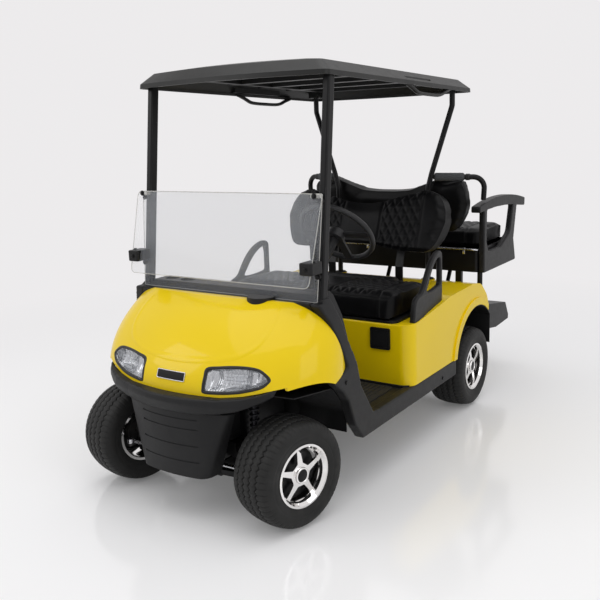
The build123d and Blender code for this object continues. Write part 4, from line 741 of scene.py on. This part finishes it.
def lamp_optics(side_name, sign):
    """Raised optics moulded on the lens, seven across and four up."""
    outline = round_rect(0.0115, 0.0105, 0.002, 2)
    parts = []
    for i in range(7):
        for j in range(4):
            x, z = 0.262 + i * 0.0135, 0.606 + j * 0.0125
            rings = []
            for shrink, lift in ((1, -0.0004), (0.9, 0.0008), (0.55, 0.0014)):
                hits = [from_front(lens_tree, ((x + dx * shrink) * sign, z + dz * shrink)) for dx, dz in outline]
                rings.append([hit + normal * lift for hit, normal in hits])
            parts.append(layered(rings, cap_first=False))
    join(f"lamp_optics_{side_name}", parts, "lamp_glass")


def lamp_gasket(side_name, sign):
    """The rubber gasket round the lens."""
    loops = []
    for inset, lift in GASKET:
        hits = [from_front(lamp_tree, (x * sign, z), (x * sign * 0.995, z)) for x, z in lamp_edge(inset)]
        loops.append([hit - Y * lift for hit, _ in hits])
    soften(piece(f"lamp_gasket_{side_name}", *layered(loops, False, False), "grip"), 2)


bonnet_edge()
badge_plate()
for side_name, sign in SIDES:
    lamp_reflector(side_name, sign)
    lamp_bulbs(side_name, sign)
    lamp_optics(side_name, sign)
    lamp_gasket(side_name, sign)


# ---- wheels: centre caps, drum faces, valve stems ----
# name, profile of (distance outward, radius), finish, facets
WHEEL_TURNINGS = (
    ("cap", ((0.074, 0.0345), (0.082, 0.0345), (0.0865, 0.0325), (0.0875, 0.0300), (0.0865, 0.0275),
             (0.0840, 0.0260)), "chrome_wheel", 56),
    ("cap_face", ((0.0842, 0.0262), (0.0846, 0.0240), (0.0862, 0.0130), (0.0868, 0.0001)), "black_steel", 40),
    ("drum_face", ((0.0300, 0.1060), (0.0345, 0.1085), (0.0368, 0.1060), (0.0378, 0.0800), (0.0398, 0.0640),
                   (0.0404, 0.0435)), "black_steel", 48),
)


def wheel_trim():
    for end, turn in (("front", STEER), ("rear", 0.0)):
        for side_name, sign in SIDES:
            centre, _ = centre_of(f"tyre_{end}_{side_name}")
            axis = Vector((math.cos(turn), math.sin(turn), 0)) * sign
            body = f"wheel_{end}_{side_name}"
            for name, profile, material, facets in WHEEL_TURNINGS:
                lathe(f"{name}_{end}_{side_name}", profile, centre, axis, material, body, facets)
            _, up = frame_of(axis)
            stem = [centre + axis * (0.060 + 0.005 * k) + up * (0.108 - 0.002 * k) for k in range(6)]
            radii = [0.005, 0.0045, 0.0035, 0.0035, 0.0045, 0.0045]
            tube(f"valve_{end}_{side_name}", stem, radii, "grip", body, 10)


wheel_trim()


# ---- inside the rear arches, a black lining up to the flare's edge ----
ARCH_STATION, ARCH_Z, ARCH_RADIUS = 1.680, 0.300, 0.285
ARCH_TAIL, ARCH_FOOT, ARCH_FRONT_FOOT = 1.889, 0.319, 0.330  # a station and two heights that cut the lining off
# across the lining: x, distance inside the arch
ARCH_SECTION = (
    (0.372, 0.0010), (0.480, 0.0010), (0.588, 0.0010), (0.5945, 0.0016), (0.5945, 0.0045), (0.588, 0.0050),
    (0.480, 0.0050), (0.372, 0.0050),
)


def arch_lining():
    angles = [math.radians(angle) for angle in range(188, -1, -4)]
    kept = [a for a in angles if math.cos(a) >= 0 or ARCH_Z + ARCH_RADIUS * math.sin(a) >= ARCH_FRONT_FOOT]
    for side_name, sign in SIDES:
        verts = []
        for a in kept:
            for x, gap in ARCH_SECTION:
                r = ARCH_RADIUS - gap
                y = min(ARCH_STATION + AXLE_Y + r * math.cos(a), ARCH_TAIL + AXLE_Y - gap)
                verts.append((sign * x, y, max(ARCH_Z + r * math.sin(a), ARCH_FOOT)))
        faces = grid_faces(len(kept), len(ARCH_SECTION), close_columns=True)
        piece(f"arch_lining_{side_name}", verts, faces, "black_moulding", smooth=False)


arch_lining()


# ---- mouldings with rounded edges ----
LIP_OUTWARD, LIP_FORWARD = 0.013, 0.006  # how far the lip swells at its sides
LIP_TIP, LIP_DRAW = 0.446, 0.80  # |x| where its tips begin, share of what lies beyond that is drawn in
LINER_CORNER_X, LINER_CORNER_Y = 0.500, -0.025 + AXLE_Y
LINER_REAR_Y, LINER_REAR_FOOT = 0.25 + AXLE_Y, 0.298
FLANK_SCREWS, FLANK_X = ((235, 552), (1221, 287)), 588.6  # station and height of each


def flank_screws():
    """Button screws through the side trims, behind the front arch and ahead of the rear wheel."""
    places = [(at(sign * FLANK_X, station, z), X * sign) for _, sign in SIDES for station, z in FLANK_SCREWS]
    bolts("flank_screws", places, radius=0.0095, height=0.004)


def bumper_moulding():
    """The lip, prouder at its sides and drawn in at its tips."""
    lip = moulded("bumper_moulding", "bumper_lip", 0.0052, 6, grow=0.0006)
    spots = positions(lip.data)
    reach = abs(spots[:, 0])
    swell = np.clip((reach - 0.22) / 0.10, 0, 1) * np.clip((0.455 - reach) / 0.05, 0, 1)
    tips = np.clip(reach - LIP_TIP, 0, None)
    spots[:, 0] += np.sign(spots[:, 0]) * (LIP_OUTWARD * swell - LIP_DRAW * tips)
    spots[:, 1] -= LIP_FORWARD * swell
    move_to(lip.data, spots)


def wheelhouse_linings():
    """The wheelhouse liners with their front corners drawn in behind the fenders and their rear edges trimmed."""
    mesh = frame["nodes"]["wheelhouse_liners"].data.copy()
    spots = positions(mesh)
    corner = (abs(spots[:, 0]) > LINER_CORNER_X) & (spots[:, 1] < -0.03 + AXLE_Y)
    spots[corner, 0] = np.sign(spots[corner, 0]) * LINER_CORNER_X
    spots[corner, 1] = LINER_CORNER_Y
    rear = spots[:, 1] > LINER_REAR_Y
    spots[rear, 2] = np.maximum(spots[rear, 2], LINER_REAR_FOOT)
    move_to(mesh, spots)
    obj = dress(place("wheelhouse_linings", mesh), "black_moulding", smooth=False)
    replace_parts(obj, "wheelhouse_liners")


def kick_strip():
    """Strip on the floor pan along the foot of the rear body's front wall."""
    corner = ((523, 845.8), (532, 846.7), (540, 848.0), (548, 851.0), (556, 855.0), (563, 860.0), (570, 865.5))
    path = [(-x, station) for x, station in corner[::-1]]
    path += [(-523 + 1046 * k / 12, 845.8) for k in range(1, 12)] + list(corner)
    profile = ((0, 336.2), (5.5, 336.2), (5.5, 346.5), (4.5, 348.5), (2.5, 349.5), (0, 349.5))  # outward, height
    rings = [[at(x, station - out, z) for out, z in profile] for x, station in path]
    piece("kick_strip", *layered(rings), "black_moulding", smooth=False)


moulded("armrest_mouldings", "armrests", 0.0042, 7, grow=0.0008)
moulded("flank_mouldings", "side_trims", 0.0052, 5, grow=0.0005)
flank_screws()
wheelhouse_linings()
kick_strip()
bumper_moulding()


# ---- panel across the frame behind the front axle, walls from it to the apron ----
# x or station, height
BULKHEAD = ((-296, 528), (-296, 330), (-240, 262), (-196, 190), (196, 190), (240, 262), (296, 330), (296, 528))
INNER_WALL_X = (205.0, 206.0, 208.0, 209.0)
INNER_WALL = ((-132, 500), (-132, 344), (-60, 331), (312, 331), (312, 528), (290, 541), (-60, 541))


def front_bulkhead():
    rings = []
    for station, inset in ((311.0, 2.0), (312.5, 0.0), (315.5, 0.0), (317.0, 2.0)):
        rings.append([at(x - math.copysign(inset, x), station, z + (inset if z < 300 else -inset))
                      for x, z in BULKHEAD])
    ribs = [rounded_box(at(x, 323.2, 298), (0.022, 0.0155, 0.180), 0.004, 0.0015) for x in (-150, 0, 150)]
    join("front_bulkhead", [layered(rings), *ribs], "black_moulding")


def inner_walls():
    """Walls along the frame, inside the tyres' sweep."""
    for side_name, sign in SIDES:
        outline = INNER_WALL[::-sign]
        rings = [[at(sign * x, station, z) for station, z in outline] for x in INNER_WALL_X]
        piece(f"inner_wall_{side_name}", *layered(rings), "black_moulding", smooth=False)


front_bulkhead()
inner_walls()


# ---- hip restraints ----
# outline and opening of the bent plate: station, height
RESTRAINT = (
    (900, 648), (901, 690), (907, 728), (920, 758), (946, 775), (984, 786), (1012, 808), (1046, 852), (1090, 900),
    (1138, 936), (1188, 957), (1230, 962), (1258, 950), (1266, 920), (1266, 850), (1266, 770), (1264, 700),
    (1256, 672), (1170, 662), (1040, 655), (960, 650),
)
RESTRAINT_HOLE = (
    (1046, 784), (1066, 816), (1100, 858), (1140, 894), (1184, 920), (1214, 928), (1232, 920), (1238, 898),
    (1239, 850), (1239, 806), (1230, 787), (1190, 781), (1110, 776),
)
RESTRAINT_X, RESTRAINT_BEND, RESTRAINT_THICKNESS, RESTRAINT_BEVEL = 0.569, 0.016, 0.028, 0.009


def plate_mesh(loops, thickness, bevel):
    """Mesh of a plate drawn in (station, height) with rounded edges, centred on x = 0; the drawing is in mm."""
    data = configured(
        bpy.data.curves.new("plate_outline", "CURVE"), dimensions="2D", fill_mode="BOTH",
        extrude=thickness / 2 - bevel, bevel_depth=bevel, bevel_resolution=3, offset=-bevel,
    )
    for loop in loops:
        points = curve_points([Vector((y / 1000, z / 1000, 0)) for y, z in loop], 6, closed=True)
        spline = data.splines.new("POLY")
        spline.points.add(len(points) - 1)
        for target, point in zip(spline.points, points):
            target.co = (point.x, point.y, 0, 1)
        spline.use_cyclic_u = True
    obj = place("plate_outline", data)
    mesh = evaluated_mesh(obj)
    verts = [Vector((v.co.z, v.co.x + AXLE_Y, v.co.y)) for v in mesh.vertices]
    faces = [tuple(f.vertices) for f in mesh.polygons]
    bpy.data.objects.remove(obj)
    bpy.data.curves.remove(data)
    bpy.data.meshes.remove(mesh)
    return verts, faces


def hip_restraints():
    """Two looped bars that lean inward towards their rear."""
    verts, faces = plate_mesh((RESTRAINT, RESTRAINT_HOLE), RESTRAINT_THICKNESS, RESTRAINT_BEVEL)
    parts = []
    for _, sign in SIDES:
        bent = []
        for v in verts:
            lean = min(1, max(0, (v.y - AXLE_Y - 1.05) / 0.2))
            bent.append(Vector(((RESTRAINT_X - RESTRAINT_BEND * lean + v.x * sign) * sign, v.y, v.z)))
        parts.append((bent, faces))
    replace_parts(join("hip_restraint_bars", parts, "black_moulding"), "hip_restraints")


hip_restraints()


# ---- foam sleeves on the hoops, as far as the hoops run beside the backrest ----
def sleeves():
    start, end = at(322, 1690, 1303), at(500, 1765, 1298)
    radii = [0.0175] + [0.0232 + 0.0003 * math.sin(k * 1.7) for k in range(23)] + [0.0175]
    for side_name, sign in SIDES:
        points = []
        for k in range(len(radii)):
            p = start.lerp(end, 0.03 + 0.86 * k / (len(radii) - 1))
            points.append((p.x * sign, p.y, p.z))
        tube(f"hoop_sleeve_{side_name}", points, radii, "foam", count=20)
        cuff = [(sign * (end.x + 0.004 * k), end.y + 0.0006 * k, end.z) for k in range(-3, 3)]
        tube(f"hoop_cuff_{side_name}", cuff, 0.0185, "grip", count=20)


sleeves()


# ---- windshield: bright edges, bolts, clips and hinge blocks ----
# foot and top of each pane: station, height
LOWER_PANE, UPPER_PANE = ((183, 893.3), (229, 1334)), ((107, 966), (209, 1336))
PANE_MIDDLE = -0.00225
CLIP_Z, CLIP_FRONT, CLIP_REAR = 1042, 112, 183 + 46 * (1042 - 893.3) / 440.7


def on_line(foot, top, share, x, out=0.0):
    """A point on a pane: foot and top are (station, height) in mm, out is metres towards the front."""
    y = foot[0] + (top[0] - foot[0]) * share
    z = foot[1] + (top[1] - foot[1]) * share
    return at(x, y, z) + pane_axes(foot, top)[1] * out


def pane_axes(foot, top):
    """A pane's directions upward and outward."""
    run = Vector((0, top[0] - foot[0], top[1] - foot[1])).normalized()
    return run, Vector((0, -run.z, run.y))


def pane_rim(foot, top, half_foot, half_top, radius):
    """Points round a pane with rounded corners."""
    height = math.dist(foot, top)
    corners = [Vector(c) for c in ((-half_foot, 0), (half_foot, 0), (half_top, height), (-half_top, height))]
    line = []
    for i, here in enumerate(corners):
        start, end = (here + (other - here).normalized() * radius for other in (corners[i - 1], corners[(i + 1) % 4]))
        for k in range(6):
            t = k / 5
            point = start * (1 - t) ** 2 + here * (2 * t * (1 - t)) + end * t ** 2
            line.append(on_line(foot, top, point.y / height, point.x, PANE_MIDDLE))
    return line


def windshield_fittings():
    rims = (pane_rim(*LOWER_PANE, 489, 500, 6), pane_rim(*UPPER_PANE, 498, 513, 28))
    join("pane_edges", [tube_mesh(rim, 0.0019, 8, closed=True) for rim in rims], "pale_acrylic")

    run, out = pane_axes(*LOWER_PANE)
    clip_size = (0.063, (CLIP_REAR - CLIP_FRONT) / 1000, 0.050)
    clips, hinges, heads = [], [], []
    for _, sign in SIDES:
        clips.append(rounded_box(at(sign * 482, (CLIP_FRONT + CLIP_REAR) / 2, CLIP_Z), clip_size, 0.010))
        hinges.append(rounded_box(at(sign * 478, 219, 1327), (0.042, 0.034, 0.018), 0.006, axes=(X, out, run)))
        heads.append((at(sign * 478, 201.5, 1327), out))
        # rubber-faced standoffs to the posts behind the lower pane
        (_, foot_z), (_, top_z) = LOWER_PANE
        for z in (1000, 1306):
            start = on_line(*LOWER_PANE, (z - foot_z) / (top_z - foot_z), sign * 489)
            heads.append((start, out))
            clips.append(tube_mesh([start - out * (0.0048 + 0.006 * k) for k in range(7)], 0.0098, 16))
        heads.append((at(sign * 482, CLIP_FRONT, CLIP_Z), -Y))
        heads.append((at(sign * 500, 150, 1067), Z))
    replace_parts(join("windshield_clip_blocks", clips, "black_moulding", smooth=False), "windshield_clips")
    join("windshield_hinge_blocks", hinges, "pale_acrylic", smooth=False)
    bolts("windshield_bolts", heads, radius=0.0078, height=0.0045)


windshield_fittings()


# ---- roof: hand holds that dip under the side lips ----
# station, height above the lip's lower edge, in millimetres
HAND_HOLD = (
    (985, 3), (1020, -2), (1060, -14), (1100, -28), (1150, -33), (1250, -34), (1340, -33), (1390, -26), (1430, -12),
    (1470, -1), (1500, 4),
)
HAND_HOLD_X, HAND_HOLD_RADIUS = 503, 0.0125


def roof_hand_holds():
    for side_name, sign in SIDES:
        path = []
        for station, height in HAND_HOLD:
            lip = 1801 - 44 / 1500 * (station - 264)
            path.append(at(sign * HAND_HOLD_X, station, lip + height))
        line = curve_points(path, 4)
        ends = [min(k, len(line) - 1 - k) for k in range(len(line))]
        radii = [HAND_HOLD_RADIUS * (1 if k > 3 else 0.55 + 0.11 * k) for k in ends]
        tube(f"roof_hand_hold_{side_name}", line, radii, "roof_black", count=16, flat=0.72)


roof_hand_holds()


# ---- a moulded cover on the deck between the backrest's uprights, rail along the rear tray's front rim ----
# the cover's outline: station, height
COVER = (
    (1302, 700), (1300, 740), (1303, 762), (1312, 776), (1326, 782), (1352, 780), (1372, 770), (1384, 752),
    (1390, 728), (1392, 706),
)
COVER_MIDDLE, COVER_FOOT = Vector((1345, 740)), 698
COVER_ENDS = ((0.250, 0.0), (0.256, -2.0), (0.258, -8.0))  # x in metres, growth of the outline in mm
COVER_ROWS, COVER_RIB = 40, 0.0016


def cover_outline(x, grow):
    outline = []
    for spot in (Vector(pair) for pair in COVER):
        spot += (spot - COVER_MIDDLE).normalized() * grow
        outline.append(at(x * 1000, spot.x, max(spot.y, COVER_FOOT)))
    return outline


def seat_back_cover():
    rings = [cover_outline(-x, grow) for x, grow in reversed(COVER_ENDS)]
    far_end = [cover_outline(x, grow) for x, grow in COVER_ENDS]
    start = rings[-1]
    for k in range(1, COVER_ROWS):
        rib = COVER_RIB if k % 8 == 4 else 0
        rings.append([a.lerp(b, k / COVER_ROWS) + Z * rib for a, b in zip(start, far_end[0])])
    piece("seat_back_cover", *layered(rings + far_end), "black_moulding")


def tray_rail():
    rail = [at(-556 + 1112 * k / 24, 1781.5, 884) for k in range(25)]
    brackets = [rounded_box(at(x, 1785.0, 874), (0.014, 0.010, 0.036), 0.002, 0.0012) for x in (-470, -160, 160, 470)]
    join("tray_rail", [tube_mesh(rail, 0.0048, 12), *brackets], "bright_steel")


seat_back_cover()
tray_rail()


# ---- upholstery ----
CLOTH_FRAMES, CLOTH_STIFFNESS = 20, 12
PADS = (
    # name, CAD node, body, rounding, shrink, cap of the swelling
    ("front_seat_cushion", "front_cushion", "seat", 5, 0.012, 0.018),
    ("front_seat_backrest", "front_seatback", "cart", 8, 0.014, 0.020),
    ("rear_seat_cushion", "rear_cushion", "cart", 5, 0.012, 0.018),
    ("rear_seat_backrest", "rear_seatback", "cart", 8, 0.013, 0.018),
)
PAD_VOXEL, PAD_PRESSURE, PAD_SLACK = 0.0105, 4.0, 0.004
QUILT_START = 0.128  # |x| where the quilted panels begin, beside the middle channel's seam
QUILT_EDGE, QUILT_LINE, QUILT_DEPTH, QUILT_PUFF = 0.006, 0.0075, 0.0045, 0.25
SEAM_WIDTH, SEAM_GAP, SEAM_FORCE = 0.006, 0.004, 1.1


def inflate(pads):
    """Swells the pads under cloth pressure together; no point moves further than its pad's cap."""
    before = {obj: positions(obj.data) for obj, _ in pads}
    for obj, _ in pads:
        cloth = obj.modifiers.new("cloth", "CLOTH")
        configured(cloth.settings, use_pressure=True, uniform_pressure_force=PAD_PRESSURE, quality=4,
                   tension_stiffness=CLOTH_STIFFNESS, compression_stiffness=CLOTH_STIFFNESS)
        cloth.settings.effector_weights.gravity = 0
        configured(cloth.point_cache, frame_start=1, frame_end=CLOTH_FRAMES)
    for number in range(1, CLOTH_FRAMES + 1):
        scene.frame_set(number)
    for obj, _ in pads:
        apply_modifiers(obj)
    scene.frame_set(1)
    for obj, cap in pads:
        start = before[obj]
        move = positions(obj.data) - start
        length = np.linalg.norm(move, axis=1, keepdims=True)
        move_to(obj.data, start + move * np.minimum(1, cap / np.maximum(length, 1e-9)))
        configured(obj.modifiers.new("fine", "SUBSURF"), levels=1, render_levels=1)
        apply_modifiers(obj)


def channel(distance, width):
    """1 in the middle of a sewn channel, falling to 0 away from it."""
    return np.exp(-((distance / width) ** 2))


def rise(value, low, high):
    """0 below low, 1 above high, smooth between."""
    t = np.clip((value - low) / (high - low), 0, 1)
    return t * t * (3 - 2 * t)


def diamonds(u, v, width=0.051, height=0.080):
    """Distance in metres to the nearest line of a diamond lattice."""
    a, b = u / width + v / height, u / width - v / height
    across = 1 / math.hypot(1 / width, 1 / height)
    return np.minimum(abs(a - np.round(a)), abs(b - np.round(b))) * across


def sew(obj, up, face, outer, rows, cross_seams, face_from=None):
    """Sews two quilted panels and the seams round them into a pad.

    up and face are the pad's own directions. The panels reach from QUILT_START to outer in |x| and over rows, (low,
    high) along up. The seams beside them run right round the pad, or only on its face above face_from. The cross
    seams lie at places along up, on the face.
    """
    points, outward = positions(obj.data), normals(obj.data)
    side, v = abs(points[:, 0]), points @ np.array(up)
    facing = rise(outward @ np.array(face), 0.35, 0.75)
    inside = (rise(side, QUILT_START, QUILT_START + QUILT_EDGE) * (1 - rise(side, outer - QUILT_EDGE, outer))
              * rise(v, rows[0], rows[0] + QUILT_EDGE) * (1 - rise(v, rows[1] - QUILT_EDGE, rows[1])) * facing)
    sink = inside * channel(diamonds(side - QUILT_START, v - rows[0]), QUILT_LINE)
    reach = 1.0 if face_from is None else facing * rise(v, face_from - SEAM_GAP, face_from)
    seams = [channel(side - x, SEAM_WIDTH) * reach for x in (QUILT_START - SEAM_GAP, outer + SEAM_GAP)]
    seams += [channel(v - height, SEAM_WIDTH) * facing for height in cross_seams]
    for seam in seams:
        sink = np.maximum(sink, seam * SEAM_FORCE)
    move_to(obj.data, points - outward * ((sink - inside * QUILT_PUFF) * QUILT_DEPTH)[:, None])


def round_ends(points, start, flat, reach):
    """Draws a pad's two ends out to half ellipses that begin at |x| = flat."""
    side, z = abs(points[:, 0]), points[:, 2]
    near = (side > flat - 0.03) & (side < flat + 0.01)
    low, high = z[near].min(), z[near].max()
    edges = np.linspace(low, high, 33)
    middles = (edges[1:] + edges[:-1]) / 2
    widest = [side[(z >= a) & (z <= b)].max() for a, b in zip(edges[:-1], edges[1:])]
    now = np.interp(z, middles, np.convolve(np.pad(widest, 1, mode="edge"), (0.25, 0.5, 0.25), mode="valid"))
    height = (z - (low + high) / 2) / ((high - low) / 2)
    want = flat + reach * np.sqrt(np.clip(1 - height**2, 0, 1))
    share = np.clip((side - start) / (now - start), 0, 1)
    points[:, 0] += np.sign(points[:, 0]) * (want - now) * share


def wave_top(points, foot_z, top_z, dip, crest, width):
    """Draws a backrest's top into one wave; returns how much each point belongs to the top."""
    side = abs(points[:, 0])
    upper = rise(points[:, 2], foot_z + 0.18, top_z)
    between = np.clip((side - 0.04) / width, 0, 1)
    points[:, 2] += upper * (crest * np.sin(between * math.pi) ** 2 - dip * (1 - rise(side, 0.0, 0.20)))
    return upper


def shape_front_backrest(mesh):
    """The padded part ends above the seat, with a lower edge that arches up in the middle, and has round ends."""
    points = positions(mesh)
    side = abs(points[:, 0])
    upper = wave_top(points, 0.836, 1.260, dip=0.020, crest=0.010, width=0.29)
    still_z, foot_z = 1.10, 0.819  # the part above still_z stays, and what lies at foot_z goes to the new lower edge
    span = still_z - foot_z
    lower_edge = 0.890 + 0.046 * (1 - rise(side, 0.06, 0.30))
    share = np.clip((still_z - points[:, 2]) / span, 0, 1)
    drop = (still_z - lower_edge) / span
    drawn = still_z - span * (share - (1 - drop) * share**2)
    points[:, 2] = np.where(share > 0, drawn, points[:, 2])
    points[:, 2] -= upper * 0.010 * rise(side, 0.33, 0.45)
    round_ends(points, 0.360, 0.385, 0.120)
    move_to(mesh, points)


def shape_rear_backrest(mesh):
    """Higher shoulders, and the whole pad a little further forward."""
    points = positions(mesh)
    side = abs(points[:, 0])
    upper = wave_top(points, 0.962, 1.311, dip=0.002, crest=0.019, width=0.33)
    points[:, 2] += upper * (rise(side, 0.42, 0.50) * 0.012 + rise(side, 0.24, 0.34) * 0.010)
    points[:, 1] -= 0.018
    move_to(mesh, points)


def cushions(pads):
    front, rear = pads["front_seat_cushion"], pads["rear_seat_cushion"]
    # the front cushion rests on its board, and its front lip hangs down ahead of the board's edge
    board_z, board_front = 0.6625, 0.8557 + AXLE_Y
    points = positions(front.data)
    over_board = points[:, 1] > board_front
    points[over_board, 2] = np.maximum(points[over_board, 2], board_z)
    lip = ~over_board & (points[:, 2] < board_z)
    points[lip, 1] = np.minimum(points[lip, 1], board_front - 0.0004)
    move_to(front.data, points)
    nose, tail = 0.830 + AXLE_Y, 1.290 + AXLE_Y
    sew(front, Y, Z, 0.400, (nose + 0.045, tail - 0.050), (nose + 0.040, tail - 0.045))
    # the rear cushion rests on the seat base
    points = positions(rear.data)
    points[:, 2] = np.maximum(points[:, 2], 0.8873)
    move_to(rear.data, points)
    tail = 2.312 + AXLE_Y
    sew(rear, Y, Z, 0.430, (tail - 0.40, tail - 0.050), (tail - 0.045,))


def backrests(pads):
    shape_front_backrest(pads["front_seat_backrest"].data)
    shape_rear_backrest(pads["rear_seat_backrest"].data)
    # foot and top of the face: station, height in metres; rows of the quilt above the foot; its outer edge; the way
    # that the face looks, 1 for the front
    for name, foot, top, low, high, outer, way in (
        ("front_seat_backrest", (1.400, 0.836), (1.540, 1.260), 0.040, 0.445, 0.366, 1),
        ("rear_seat_backrest", (1.806, 0.962), (1.766, 1.311), 0.075, 0.360, 0.392, -1),
    ):
        up = Vector((0, top[0] - foot[0], top[1] - foot[1])).normalized()
        base = Vector((0, foot[0] + AXLE_Y, foot[1])).dot(up)
        sew(pads[name], up, X.cross(up) * way, outer, (base + low, base + high), (base + low - 0.005,), base + low)


def upholstery():
    pads = {name: pad_start(name, node, PAD_VOXEL, shrink, rounds) for name, node, _, rounds, shrink, _ in PADS}
    inflate([(pads[name], cap) for name, *_, cap in PADS])
    for name, node, *_ in PADS:
        low, high = (np.array(v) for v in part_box(node))
        mesh = pads[name].data
        move_to(mesh, np.clip(positions(mesh), low - PAD_SLACK, high + PAD_SLACK))
    cushions(pads)
    backrests(pads)
    for name, node, body, *_ in PADS:
        obj = dress(pads[name], "vinyl", body)
        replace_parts(obj, node)


upholstery()
